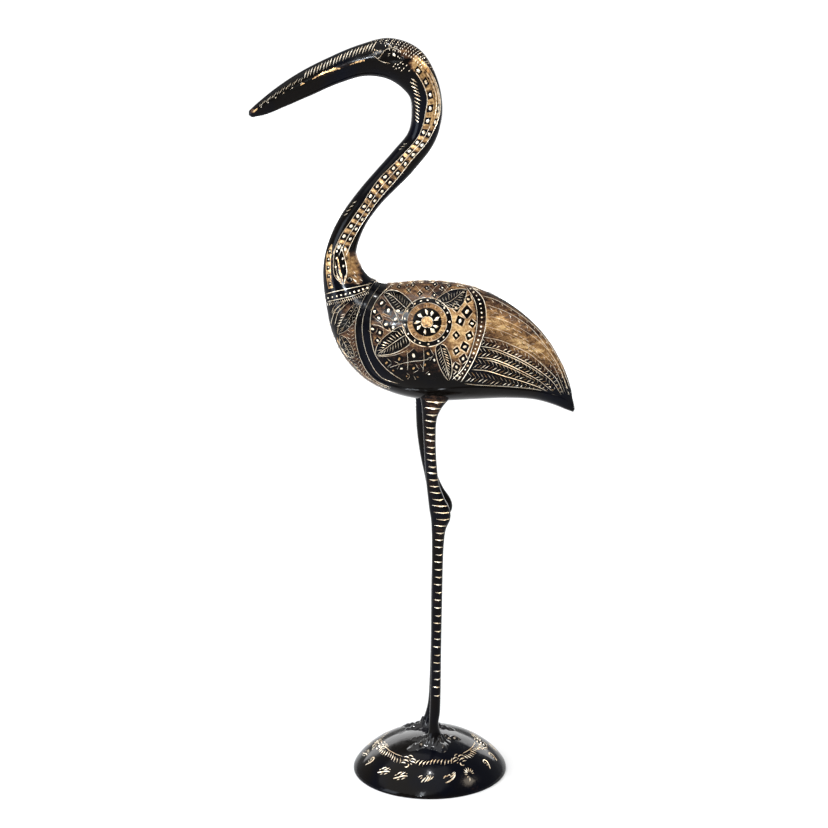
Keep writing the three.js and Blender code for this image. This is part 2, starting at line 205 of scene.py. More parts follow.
def from_chart(chart):
    t = np.interp(chart[..., 0], SIDE_LENGTH, SHARES)
    angle = math.pi * (0.5 + chart[..., 1] / np.interp(t, SHARES, GIRTH))
    return t, angle


def in_carving(t, angle):
    """The bird's side as the carver draws it: x, and height with the tilt taken out."""
    point = skin(t, angle, False)
    up = point[..., 2] * math.cos(CARVING_TILT) - np.abs(point[..., 1]) * math.sin(CARVING_TILT)
    return np.stack([point[..., 0], up], -1)


# Places on the skin to start from when a drawn point is looked up
LOOKUP_GRID = np.meshgrid(np.linspace(0.02, 1, 701), np.linspace(0, 2.5, 91))
LOOKUP_T, LOOKUP_ANGLE = (values.ravel() for values in LOOKUP_GRID)
LOOKUP = tree_of(in_carving(LOOKUP_T, LOOKUP_ANGLE))
SEARCH_ROUNDS = 3
LONGEST_MOVE_T = 0.004
LONGEST_MOVE_ANGLE = 0.05
LEAST_AREA = 50  # steadies the search where the skin turns away from the carver


def carve(points):
    """Chart positions of points drawn as x and height on the bird's side."""
    points = np.array(points, float).reshape(-1, 2)
    nearest = [LOOKUP.find((x, up, 0))[1] for x, up in points]
    t, angle = LOOKUP_T[nearest], LOOKUP_ANGLE[nearest]
    step = 1e-4
    for _ in range(SEARCH_ROUNDS):
        here = in_carving(t, angle)
        by_t = (in_carving(t + step, angle) - here) / step
        by_angle = (in_carving(t, angle + step) - here) / step
        miss = points - here
        area = by_t[:, 0] * by_angle[:, 1] - by_t[:, 1] * by_angle[:, 0]
        area = np.where(np.abs(area) < LEAST_AREA, LEAST_AREA * np.sign(area + 1e-9), area)
        move_t = (miss[:, 0] * by_angle[:, 1] - miss[:, 1] * by_angle[:, 0]) / area
        move_angle = (by_t[:, 0] * miss[:, 1] - by_t[:, 1] * miss[:, 0]) / area
        t = np.clip(t + np.clip(move_t, -LONGEST_MOVE_T, LONGEST_MOVE_T), 0, 1)
        move_angle = np.clip(move_angle, -LONGEST_MOVE_ANGLE, LONGEST_MOVE_ANGLE)
        angle = np.clip(angle + move_angle, 0, math.pi)
    return to_chart(t, angle)


# Low relief of the bird: shapes on the chart that stand proud behind a soft edge

def edge_distance(points, outline):
    """Distance inside a closed outline, negative outside it."""
    near = np.full(len(points), np.inf)
    inside = np.zeros(len(points), bool)
    for a, b in zip(outline, np.roll(outline, -1, 0)):
        way = b - a
        share = np.clip((points - a) @ way / max(way @ way, 1e-9), 0, 1)
        near = np.minimum(near, np.linalg.norm(points - a - share[:, None] * way, axis=1))
        crosses = (a[1] > points[:, 1]) != (b[1] > points[:, 1])
        rise = b[1] - a[1] if abs(b[1] - a[1]) > 1e-9 else 1e-9
        inside ^= crosses & (points[:, 0] < a[0] + (points[:, 1] - a[1]) * way[0] / rise)
    return np.where(inside, near, -near)


def ease(value):
    """A soft step from 0 to 1."""
    value = np.clip(value, 0, 1)
    return value * value * (3 - 2 * value)


RELIEF_FADE = 8  # the relief dies out over this length before the tip of the tail


class Relief:
    """Shapes with a height and the width of the slope at their edge."""

    def __init__(self):
        self.shapes = []

    def add(self, outline, height, slope):
        self.shapes.append((np.array(outline), height, slope))

    def height(self, chart):
        total = np.zeros(len(chart))
        for outline, height, slope in self.shapes:
            low, high = outline.min(0) - slope, outline.max(0) + slope
            near = np.all((chart > low) & (chart < high), 1)
            if near.any():
                depth = edge_distance(chart[near], outline)
                total[near] += height * ease(depth / slope + 0.5)
        return total * ease((SIDE_LENGTH[-1] - chart[:, 0]) / RELIEF_FADE)


RELIEF = Relief()


def bird_surface(chart):
    """Points of the bird with its low relief, and their outward normals."""
    def place(chart):
        t, angle = from_chart(chart)
        step_t, step_angle = 2e-4, 2e-3
        t_safe = np.clip(t, 5e-4, 1 - 3e-4)
        along = skin(t_safe + step_t, angle) - skin(t_safe - step_t, angle)
        across = skin(t_safe, angle + step_angle) - skin(t_safe, angle - step_angle)
        normal = unit(np.cross(along, across))
        return skin(t, angle) + normal * RELIEF.height(chart)[:, None], normal

    here, normal = place(chart)
    step = 0.08
    along = place(chart + [step, 0])[0] - here
    across = place(chart + [0, step])[0] - here
    facing = np.cross(along, across)
    size = np.linalg.norm(facing, axis=1, keepdims=True)
    facing = np.where(size > 1e-6, facing / np.maximum(size, 1e-12), normal)
    return here, facing


# Engraving: cuts laid out on a flat chart and triangulated with it

SHORTEST_CUT = 0.3
POINT_POWER = 0.7  # how fast a cut widens from its pointed ends
CLEAR_SPACING = 0.6
CLEARANCE = 0.95  # filling points keep this far off a cut
ROW_SHARE = 0.87  # height of a row of filling points, as a share of their spacing


def spin(turn):
    """A matrix that turns rows of points."""
    return np.array([[math.cos(turn), math.sin(turn)], [-math.sin(turn), math.cos(turn)]])


def oval(centre, radius, sides, stretch, turn):
    angles = turn + np.arange(sides) * 2 * math.pi / sides
    ring = np.stack([np.cos(angles - turn) * stretch, np.sin(angles - turn)], 1) * radius
    return np.asarray(centre) + ring @ spin(turn)


def turns_left(outline):
    ahead = np.roll(outline, -1, 0)
    return np.sum(outline[:, 0] * ahead[:, 1] - outline[:, 1] * ahead[:, 0]) > 0


class Engraving:
    """Cuts, pits and patches on a flat chart, and the triangles that take them in."""

    def __init__(self):
        self.points = []
        self.depths = []
        self.edges = []
        self.faces = []
        self.kinds = []
        self.keep_clear = []

    def add(self, points, depth=0.0):
        start = len(self.points)
        self.points.extend(np.asarray(points, float).reshape(-1, 2))
        self.depths.extend([depth] * (len(self.points) - start))
        return list(range(start, len(self.points)))

    def cut(self, path, width=0.8, depth=0.25, taper=2.5, kind=CUT):
        """One pass of the graver: a groove that starts and ends in a point."""
        path = np.array(path, float)
        if len(path) == 2:
            path = np.array([path[0], (path[0] + path[1]) / 2, path[1]])
        along = lengths(path)
        if along[-1] < SHORTEST_CUT:
            return
        side = leftward(path)
        to_end = np.minimum(along, along[-1] - along)
        half = width / 2 * np.minimum(1, to_end / min(taper, along[-1] / 2)) ** POINT_POWER
        inner = slice(1, -1)
        first, = self.add(path[:1])
        left = self.add((path + side * half[:, None])[inner])
        centre = self.add(path[inner], depth)
        right = self.add((path - side * half[:, None])[inner])
        last, = self.add(path[-1:])
        spine = [first, *centre, last]
        self.edges.extend(zip(spine, spine[1:]))
        self.faces.append([first, *right, last, *left[::-1]])
        self.kinds.append(kind)
        self.keep_clear.append(resample(path, CLEAR_SPACING))

    def pit(self, centre, radius, depth=0.3, sides=7, stretch=1.0, turn=0.0, kind=CUT):
        """A punched dot, round or drawn out to an oval."""
        rim = self.add(oval(centre, radius, sides, stretch, turn))
        self.add([centre], depth)
        self.faces.append(rim)
        self.kinds.append(kind)
        self.keep_clear.append(np.array([centre]))

    def patch(self, outline, kind):
        """A flat area where the lacquer is scraped away."""
        self.faces.append(self.add(outline))
        self.kinds.append(kind)

    def line(self, path):
        """A line that the triangles follow."""
        row = self.add(path)
        self.edges.extend(zip(row, row[1:]))

    def fill(self, low, high, spacing, inside):
        """Points between the cuts, so that the surface between them stays round."""
        rows = np.arange(low[1], high[1], spacing * ROW_SHARE)
        grid = []
        for k, g in enumerate(rows):
            s = np.arange(low[0] + (k % 2) * spacing / 2, high[0], spacing)
            grid.append(np.stack([s, np.full(len(s), g)], 1))
        grid = np.concatenate(grid)
        grid = grid[inside(grid)]
        tree = tree_of(np.concatenate(self.keep_clear))
        away = min(CLEARANCE, spacing / 2)
        self.add([(s, g) for s, g in grid if tree.find((s, g, 0))[2] > away])

    def triangles(self, inside):
        """Chart points, their depths, the triangles inside the chart and their kinds."""
        inputs = np.array(self.points)
        points = [Vector((float(a), float(b))) for a, b in self.points]
        outlines = [face if turns_left(inputs[face]) else face[::-1] for face in self.faces]
        out = delaunay_2d_cdt(points, self.edges, outlines, 0, 1e-5, True)
        verts, edges, faces, from_verts, from_edges, from_faces = out
        chart = np.array([tuple(v) for v in verts])
        depth = np.zeros(len(chart))
        known = np.zeros(len(chart), bool)
        depths = np.array(self.depths)
        for k, sources in enumerate(from_verts):
            if sources:
                depth[k] = depths[list(sources)].max()
                known[k] = True
        for (a, b), sources in zip(edges, from_edges):
            for source in sources:
                if source >= len(self.edges):
                    continue
                start, end = self.edges[source]
                way = inputs[end] - inputs[start]
                for k in (a, b):
                    if not known[k]:
                        share = np.clip((chart[k] - inputs[start]) @ way / max(way @ way, 1e-9), 0, 1)
                        level = depths[start] + share * (depths[end] - depths[start])
                        depth[k] = max(depth[k], level)
        tris = np.array(faces)
        kinds = np.zeros(len(tris), int)
        for k, sources in enumerate(from_faces):
            if sources:
                found = [self.kinds[source] for source in sources]
                kinds[k] = CUT if CUT in found else self.kinds[max(sources)]
        keep = inside(chart[tris].mean(1))
        return chart, depth, tris[keep], kinds[keep]


# Meshes

WELD = 0.0005  # points are rounded to this to find the ones that meet


def make_mesh(name, points, normals, tris, kinds, fields, materials):
    """A mesh in metres. Faces of a cut are flat, the others carry the surface's own normals."""
    key = np.round(points / WELD).astype(np.int64)
    _, first, same = np.unique(key, axis=0, return_index=True, return_inverse=True)
    same = same.ravel()
    tris = same[tris]
    points = points[first]
    fields = {label: values[first] for label, values in fields.items()}
    whole = (tris[:, 0] != tris[:, 1]) & (tris[:, 1] != tris[:, 2]) & (tris[:, 2] != tris[:, 0])
    tris, kinds = tris[whole], kinds[whole]
    # two faces back to back on the same corners cancel out
    _, twin, times = np.unique(np.sort(tris, 1), axis=0, return_inverse=True, return_counts=True)
    single = times[twin.ravel()] == 1
    tris, kinds = tris[single], kinds[single]
    corner_normals = np.zeros((len(points), 3))
    np.add.at(corner_normals, same, normals)
    corner_normals = unit(corner_normals)
    mesh = bpy.data.meshes.new(name)
    mesh.from_pydata((points * MM).tolist(), [], tris.tolist())
    for material in materials:
        mesh.materials.append(material)
    mesh.polygons.foreach_set("material_index", kinds.astype(np.int32))
    smooth_faces = kinds != CUT
    mesh.polygons.foreach_set("use_smooth", smooth_faces)
    for label, values in fields.items():
        attribute = mesh.attributes.new(label, "FLOAT", "POINT")
        attribute.data.foreach_set("value", values.astype(np.float32))
    loops = np.where(np.repeat(smooth_faces, 3)[:, None], corner_normals[tris.ravel()], 0)
    mesh.update()
    mesh.normals_split_custom_set(loops.tolist())
    thing = bpy.data.objects.new(name, mesh)
    bpy.context.scene.collection.objects.link(thing)
    return thing


def both_sides(points, normals, tris, kinds, fields):
    """The half of the bird that was made, and its mirror image on the other side."""
    flip = np.array([1, -1, 1])
    count = len(points)
    return (
        np.vstack([points, points * flip]),
        np.vstack([normals, normals * flip]),
        np.vstack([tris, tris[:, ::-1] + count]),
        np.concatenate([kinds, kinds]),
        {label: np.concatenate([values, values]) for label, values in fields.items()},
    )


class Drawing:
    """Cuts drawn as x and height on the bird's side, laid onto its chart together."""

    def __init__(self):
        self.items = []

    def cut(self, path, **how):
        self.items.append(("cut", np.array(path, float).reshape(-1, 2), how))

    def pit(self, centre, radius, stretch=1.0, turn=0.0, sides=7, depth=0.3, kind=CUT):
        outline = np.vstack([oval(centre, radius, sides, stretch, turn), [centre]])
        self.items.append(("pit", outline, {"depth": depth, "kind": kind}))

    def patch(self, outline, kind):
        self.items.append(("patch", np.array(outline, float), {"kind": kind}))

    def lay(self, engraving):
        placed = carve(np.concatenate([path for _, path, _ in self.items]))
        start = 0
        for work, path, how in self.items:
            part = placed[start : start + len(path)]
            start += len(path)
            if work == "cut":
                engraving.cut(part, **how)
            elif work == "patch":
                engraving.patch(part, **how)
            else:
                engraving.faces.append(engraving.add(part[:-1]))
                engraving.kinds.append(how["kind"])
                engraving.add(part[-1:], how["depth"])
                engraving.keep_clear.append(part[-1:])


def shifted(path, offset):
    """The path moved sideways."""
    return path + leftward(path) * offset


def arc(centre, radius, start=0.0, end=2 * math.pi, spacing=1.5):
    count = max(3, round(abs(end - start) * radius / spacing) + 1)
    turns = np.linspace(start, end, count)
    return np.asarray(centre) + radius * np.stack([np.cos(turns), np.sin(turns)], 1)


def disc(centre, radius, spacing=1.5):
    """Outline of a round patch."""
    return arc(centre, radius, spacing=spacing)[:-1]


# Wing, drawn as x and height on the bird's side

WING_RISE = 1.2
WING_FRONT = [
    (-24, 418), (-26, 412), (-38.3, 392.3), (-44.3, 375.3), (-44.3, 359.2), (-39.5, 342.1),
    (-30.5, 329.8), (-10.3, 321.7), (9.9, 319.7),
]
WING_FOOT = [(9.9, 319.7), (44, 322.6), (79, 320.8), (100, 318.6), (119.8, 312.9), (129.5, 305.5)]
COLLAR_MIDDLE = [
    (-26.4, 405.2), (-36.2, 389.3), (-40.7, 375.3), (-40.3, 359.3), (-35.4, 343.1), (-26.4, 329.9),
    (-12, 324.6),
]
COLLAR_INNER = [
    (-17.4, 406), (-28.8, 393.3), (-33.7, 382.3), (-34.7, 370.3), (-33.7, 359.3), (-30.3, 347.2),
    (-20.3, 335.1), (-8.2, 326.9),
]
MEDALLION = (10.3, 374.6)
RIM_OUTER = 19.7
RIM_INNER = 15.6
PETAL_GROUND = 11.5
BOSS = 4.2
PETALS = 9
RIM_DOTS = 17
DOT_RING = 17.7
RAYS = 26
RAY_FEET = (12.1, 10.2)  # every sixth ray starts further in
RAY_TIPS = 15.1
LEAVES = [
    {
        "stalk": (-3.5, 385.5), "tip": (-24, 397.4),
        "edges": [[(-0.2, 387.3), (-6.2, 395.3), (-13.3, 399.9), (-20.3, 400.4)],
                  [(-9.2, 380.8), (-15.2, 384.3), (-20.2, 391.3), (-23.8, 396.4)]],
    },
    {
        "stalk": (21, 388.5), "tip": (42.2, 401),
        "edges": [[(17, 391.5), (22, 396.5), (29, 400.4), (38, 401.7)],
                  [(24.3, 387.3), (33.8, 385.3), (39.9, 391.3), (41.7, 398)]],
    },
    {
        "stalk": (-6, 364), "tip": (-30.3, 348.2),
        "edges": [[(-9.2, 371.3), (-20.2, 365.3), (-28.5, 357), (-30.6, 351)],
                  [(-3.2, 357.8), (-9.5, 352.6), (-17.2, 349.2), (-26, 347.9)]],
    },
    {
        "stalk": (20.6, 357), "tip": (27.5, 327.4),
        "edges": [[(17.2, 355), (17.8, 346.3), (21.4, 336.2), (26, 329)],
                  [(24.3, 356), (28, 349), (30, 340.2), (29.4, 331.5)]],
    },
]
BAND_INNER = [(41.4, 404), (48.6, 390.3), (49.9, 375.3), (47.4, 359.3), (40, 339.2), (30, 328)]
BAND_OUTER = [
    (45.6, 404), (54.4, 394.6), (57, 385.3), (56.4, 370.3), (51.9, 355.3), (46, 341.2), (37.1, 326),
]
FEATHER_LINES = [
    [(40, 325), (50.3, 323.8), (70.7, 322.6), (91.2, 320.8), (103, 319)],
    [(45.5, 336.5), (57.8, 335.4), (71.7, 331.1), (85.7, 326.9), (99.8, 321.8), (106.9, 318.3)],
    [(50.1, 346.4), (61.8, 345), (73.6, 340.8), (85.5, 335.2), (99.6, 327.4), (111.2, 318.2)],
    [(52.1, 355.3), (64.5, 353.2), (74.9, 349), (85.4, 344.2), (99.5, 335.8),
     (110.9, 326.6), (118.5, 315.5)],
    [(54.2, 362.8), (67.9, 360), (78.3, 355.9), (92.3, 348.9), (102.9, 339.9),
     (113.8, 329.4), (120.5, 316)],
    [(56.2, 371.6), (71.4, 366.8), (85.3, 359.9), (99.4, 351.6), (110.1, 341.9),
     (117.4, 327.9), (122, 316.5)],
    [(57.7, 379.8), (71.5, 376.4), (85.4, 369.5), (99.5, 359.8), (110.2, 348.7),
     (119.7, 331.3), (123.4, 318.5)],
    [(57.1, 389), (71.6, 383.9), (82.1, 378.4), (94, 369.5), (105.2, 356.3),
     (116.8, 338.2), (124.4, 319.5)],
    [(54.6, 396), (65, 393), (79.6, 384.6), (92.6, 375.2), (104.8, 362.8), (115.8, 346), (126.2, 321.4)],
]
DARK_BANDS = 4
TOP_BAND = 7
STREAKS = 60
SCATTER_ACROSS = 0.618  # steps that spread the streaks without a pattern
SCATTER_ALONG = 0.377
TAIL_NICKS = [(118.5, 333), (120.6, 328.6), (122.3, 324), (123.8, 319), (116, 338), (112.6, 342.6)]


def around(centre, radius, degrees):
    """The point that far from a centre, in that direction."""
    turn = math.radians(degrees)
    return np.array([centre[0] + radius * math.cos(turn), centre[1] + radius * math.sin(turn)])


def draw_medallion(art):
    art.patch(disc(MEDALLION, RIM_OUTER), BLACK)
    art.patch(disc(MEDALLION, RIM_INNER - 0.2), LACQUER)
    art.patch(disc(MEDALLION, PETAL_GROUND), BLACK)
    art.patch(disc(MEDALLION, BOSS, 1), BRASS)
    for radius, width in ((RIM_OUTER, 0.42), (RIM_INNER, 0.36), (BOSS + 0.4, 0.5)):
        for quarter in range(4):
            start = quarter * math.pi / 2 + 0.03
            art.cut(arc(MEDALLION, radius, start, start + math.pi / 2 - 0.06), width=width, taper=1)
    for petal in range(PETALS):
        degrees = petal * 360 / PETALS + 16 + 5 * math.sin(petal * 2.1)
        near, far = 5.3 + 0.4 * math.sin(petal * 1.3), 10.2 + 0.5 * math.sin(petal * 3.7)
        marks = ((near, -4), (8.2, 1), (far, 7))
        path = [around(MEDALLION, reach, degrees + turn) for reach, turn in marks]
        art.cut(path, width=2.85 + 0.5 * math.sin(petal * 2.9), depth=0.5, taper=2.2)
    for dot in range(RIM_DOTS):
        degrees = dot * 360 / RIM_DOTS + 4 * math.sin(dot * 1.9)
        art.pit(around(MEDALLION, DOT_RING, degrees), 0.68, 1.3, dot * 0.7, 5)
    for ray in range(RAYS):
        degrees = ray * 360 / RAYS + 9 + 4 * math.sin(ray * 2.7)
        start = around(MEDALLION, RAY_FEET[ray % 6 == 0], degrees)
        width, kind = (0.55, BLACK) if ray % 2 else (0.4, CUT)
        art.cut([start, around(MEDALLION, RAY_TIPS, degrees + 2)], width=width, kind=kind)


def draw_leaf(art, leaf, gap=2.2, vein=0.38, edge_width=0.4):
    """A dark leaf with a rib and veins this far apart."""
    edges = [smooth([leaf["stalk"], *edge, leaf["tip"]], 17) for edge in leaf["edges"]]
    middle = (edges[0] + edges[1]) / 2
    art.patch(np.vstack([edges[0], edges[1][-2:0:-1]]), BLACK)
    for edge in edges:
        art.cut(edge, width=edge_width, taper=3)
    art.cut(at_share(middle, np.linspace(0.03, 0.96, 9)), width=edge_width)
    span = lengths(middle)[-1]
    for number, share in enumerate(np.arange(0.07, 0.78, gap / span)):
        for side, edge in enumerate(edges):
            start = at_share(middle, [share + 0.02])[0]
            end = at_share(edge, [min(1, share + 0.2)])[0]
            reach = 0.84 - 0.08 * ((number + side) % 3)
            art.cut([start + (end - start) * 0.14, start + (end - start) * reach], width=vein, taper=2)


def draw_feathers(art):
    """Lines between the long feathers, their barbs, and streaks over the rubbed ones."""
    lines = [smooth(line, 49) for line in FEATHER_LINES]
    for number, line in enumerate(lines):
        line = resample(line, 3)
        art.cut(line, width=(0.42, 0.3, 0.5)[(number > 4) + (number > 7)], taper=4)
        if number in (2, 3):
            art.cut(shifted(line, -1.7)[2 : len(line) * 3 // 4], width=0.34, taper=4)
    for band, (low, high) in enumerate(zip(lines, lines[1:])):
        rib = (low + high) / 2
        span = lengths(rib)[-1]
        dark = band < DARK_BANDS
        spacing = 3.2 if dark else 2.6
        for number, share in enumerate(np.arange(3 / span, 0.97, spacing / span)):
            here, way, side = heading_at(rib, share)
            half = abs((at_share(high, share) - at_share(low, share)) @ side) / 2
            golden = not dark and band < TOP_BAND and 0.1 < share < 0.7
            reach = min(half - 0.6, 4.2 if dark else 3.4)
            if reach < 0.5:
                continue
            for sign in (-1, 1):
                if (golden or band == TOP_BAND) and (number + sign + band) % 3 == 0:
                    continue
                root = here - way * reach * (0.95 if dark else 1.2) + side * sign * reach
                tip = here + side * sign * 0.1
                kind = CUT if dark or (2 * number + sign + band) % 3 == 0 else BLACK
                if dark and (number + 2 * sign + band) % 3 == 0:
                    kind = BRASS
                art.cut([root, tip], width=0.35 if dark or kind == BLACK else 0.3, taper=1, kind=kind)
    for number in range(STREAKS):
        across = 0.02 + 0.92 * ((number * SCATTER_ACROSS) % 1)
        share = 0.04 + 0.66 * ((number * SCATTER_ALONG) % 1)
        ends = [share, share + 0.06]
        streak = at_share(lines[4], ends) * (1 - across) + at_share(lines[7], ends) * across
        art.cut(streak, width=0.34, depth=0.12, kind=(BLACK, CUT, BRASS)[number % 3])
    for x, up in TAIL_NICKS:
        art.cut([(x, up), (x + 1.6, up - 3.6)], width=0.55)


# Dark diamonds between the leaves: x, height and size
DIAMONDS = {
    "left": [
        (-25.5, 390, 1), (-20.2, 383.8, 1.15), (-31.1, 382.8, 0.9), (-27.9, 377.8, 0.9), (-32.9, 368.9, 0.9),
        (-22, 372.6, 1.1), (-14.6, 376.8, 1.05), (-16.4, 370.2, 1), (-27, 366, 0.9), (-28.8, 359.6, 0.8),
        (-12.6, 383.6, 0.9),
    ],
    "right": [
        (41.8, 383, 1.35), (36.3, 375.6, 1.15), (33.2, 364, 0.9), (43.6, 363.8, 1), (45.8, 373.4, 0.9),
        (40, 354.8, 1.1), (33.4, 351.6, 0.85), (38.8, 345.4, 1), (33.6, 338.6, 0.95), (33.4, 386, 0.9),
        (43, 393.2, 0.9), (34.2, 331.6, 0.8),
    ],
    "low": [
        (-22, 341.8, 0.95), (-11.8, 345, 1.05), (-0.4, 347.8, 1.4), (11, 349.4, 1.1), (-16.6, 335.6, 0.7),
        (-10, 337.2, 0.85), (-0.4, 337.6, 0.95), (8.6, 340.4, 0.9), (16, 344.2, 0.9), (-6, 331, 0.6),
        (2.6, 330.6, 0.65), (12, 332.6, 0.65),
    ],
    "top": [
        (4.4, 397.6, 0.9), (16, 396.4, 1), (-4.4, 400.6, 0.8), (10, 402.4, 0.8), (22.4, 402.6, 0.9),
        (-1, 404.8, 0.75), (16.6, 405.4, 0.85), (28, 404.4, 0.8), (-12, 403.4, 0.7),
    ],
}
DIAMOND_SIZE = {"left": (3.8, 4.2), "right": (3.5, 4.3), "low": (4.2, 4), "top": (2.9, 2.8)}
DOT_SIZE = {"left": 1.0, "right": 1.0, "low": 0.85, "top": 0.5}
NET_GAP = {"left": 0.5, "right": 0.7, "low": 0.5, "top": 0.4}
NET_LINES = [
    [(-29.6, 346.6), (-17, 347.8), (-7.8, 351), (-4.6, 353.2)],
    [(-20.6, 337.6), (-11.4, 340.8), (-2.2, 343), (6.8, 344), (12.4, 345)],
    [(-5.6, 353), (-5, 343), (-5.4, 334.8)],
    [(7.4, 354.4), (7.8, 344), (6.8, 333.8)],
    [(-33.8, 372.4), (-27.4, 371.6), (-20, 367.4), (-13, 367.2)],
    [(-31.6, 378.4), (-25.2, 372.4), (-24, 364.2)],
    [(-23, 384.6), (-25, 380.2), (-18, 377.4), (-15.6, 374)],
    [(-17.2, 387.6), (-14.4, 381.4), (-11.6, 372.8)],
]
CROSSINGS = (-8, 1, 11, 21)
CROSSING_TOP = 405.6
CROSSING_FOOT = 395.2


def draw_lattice(art):
    for zone, cells in DIAMONDS.items():
        wide, tall = DIAMOND_SIZE[zone]
        for number, (x, up, size) in enumerate(cells):
            corners = np.array([(wide, 0), (0, tall), (-wide, 0), (0, -tall)]) * size
            corners = corners @ spin(0.35 * math.sin(number * 1.7))
            art.patch(corners + (x, up), BLACK)
            metal = BRASS if zone == "low" and number % 3 != 2 else CUT
            art.pit((x, up), DOT_SIZE[zone] * size, 1.5, 0.9 + number * 0.5, 6, 0.45, metal)
            net = corners * (1 + NET_GAP[zone] / wide / size) + (x, up)
            for k, (a, b) in enumerate(zip(net, np.roll(net, -1, 0))):
                if zone == "right" or (k + number) % 3 == 0:
                    width = 0.55 if zone == "right" else 0.3
                    art.cut([a + (b - a) * 0.04, a + (b - a) * 0.96], width=width)
    for line in NET_LINES:
        art.cut(curve(line, 12, 3), width=0.2, depth=0.1)
    middle = (CROSSING_TOP + CROSSING_FOOT) / 2
    for x in CROSSINGS:
        for top, foot in ((-1, 8), (8.4, -0.8)):
            art.cut([(x + top, CROSSING_TOP), (x + 3.6, middle), (x + foot, CROSSING_FOOT)], width=0.34)


def draw_wing(art):
    draw_lattice(art)
    draw_medallion(art)
    for leaf in LEAVES:
        draw_leaf(art, leaf)
    art.cut(curve(COLLAR_MIDDLE, 40, 3), width=0.34, taper=8)
    art.cut(curve(COLLAR_INNER, 40, 3), width=0.46, taper=6)
    inner, outer = (smooth(line, 61) for line in (BAND_INNER, BAND_OUTER))
    art.cut(resample(inner, 3), width=0.42)
    art.cut(resample(outer, 3), width=0.5)
    middle = (inner + outer) / 2
    for number, share in enumerate(np.arange(0.03, 0.98, 3.7 / lengths(middle)[-1])):
        art.pit(at_share(middle, share), 0.62 + 0.14 * math.sin(number * 2.2), 1.3, number * 0.9, 6)
    draw_feathers(art)


# Breast and neck root, drawn like the wing

def ticks(art, path, spacing, length, lean=0.0, width=0.5, start=0.0, end=1.0):
    """A row of short strokes across a path, from it to one side."""
    path = np.array(path, float)
    span = lengths(path)[-1]
    step = spacing / span
    for share in np.arange(start + step / 2, end, step):
        here, way, side = heading_at(path, share)
        art.cut([here, here + side * length + way * lean], width=width)


NECK_LINES = [
    [(-70, 396.6), (-68.1, 397.1), (-53.6, 400.3), (-43, 402.6), (-32.9, 405)],
    [(-69.9, 390.3), (-52.8, 393.8), (-45.2, 396.1), (-37, 399.6)],
]
BREAST_LEAVES = [
    {
        "stalk": (-54.6, 390.3), "tip": (-65.2, 381.4),
        "edges": [[(-58.4, 390.2), (-62.8, 386.8)],
                  [(-55.4, 386.4), (-60.2, 382.2)]],
    },
    {
        "stalk": (-43.4, 390.5), "tip": (-60.6, 364.6),
        "edges": [[(-49.4, 386.2), (-55.6, 378), (-60, 370)],
                  [(-42.9, 384), (-46.6, 376), (-54, 367.4)]],
    },
    {
        "stalk": (-58.6, 364.4), "tip": (-47.6, 345.6),
        "edges": [[(-59.2, 359), (-57, 352.4), (-52.4, 347.4)],
                  [(-53.6, 362), (-49.4, 355.4), (-47.4, 349.6)]],
    },
]
# Bowed lines beside the large leaf of the breast: both ends, and how far the middle is pushed out
BREAST_BOWS = [((-66.2, 372.2), (-52.4, 392.4)), ((-62.8, 372), (-50.6, 390.6))]
BOW_PUSH = (-2.6, 1.6)
# Rows of strokes in front of the wing's edge: how far off it, then as ticks() takes them
BREAST_ROWS = [
    (-2.2, 2.7, -2.8, 1.7, 0.26, 0.06, 0.98),
    (-5.4, 3, -2.8, -1.8, 0.24, 0.24, 0.97),
    (-8.8, 2.9, -2.6, 2.2, 0.28, 0.5, 0.97),
    (-12.2, 3.6, -2.4, -2, 0.44, 0.55, 0.95),
]
# Flames on the lower breast: both ends and the width
FLAMES = [
    ((-61, 362.6), (-58.8, 353.6), 2.4),
    ((-56, 352.8), (-53, 345.2), 2.0),
    ((-51.8, 344), (-47.8, 338.6), 1.6),
    ((-54.2, 348.8), (-53.2, 344.6), 1.0),
    ((-46.6, 339.4), (-42.4, 334.8), 1.1),
    ((-41.4, 335), (-36.6, 330.6), 0.9),
]
NECK_LEAF = [
    [(-58.9, 437.4), (-62.3, 430.1), (-63.4, 420.8), (-62.5, 410.9), (-55.9, 403.6)],
    [(-58.9, 437.4), (-55.9, 429.8), (-53.6, 420.8), (-52.8, 412.4), (-55.3, 403.6)],
]
FRONT_STRIP = [(-65.6, 401), (-67, 408.9), (-67.6, 417.5), (-67, 427.4), (-64.6, 435.5)]
BACK_STRIP = [(-50.2, 412), (-50.9, 419), (-52.4, 427), (-54.4, 434)]
STRIP_HALF = 1.9
NECK_DOTS = ((-60.6, 430), (-57, 431.2), (-56, 424.2), (-60.8, 424.6), (-55.4, 418.4), (-61.6, 417.8))
CURL = (-50.6, 407.8)
CURL_DASHES = [
    ((-48, 408.6), (-44.8, 405.4), 1.3),
    ((-47.4, 411.6), (-44.6, 409.2), 0.8),
    ((-45.4, 404.8), (-42.6, 404.6), 0.9),
    ((-47.6, 414.6), (-45.8, 412.4), 0.7),
    ((-42.8, 408.4), (-40.4, 406.6), 0.7),
]


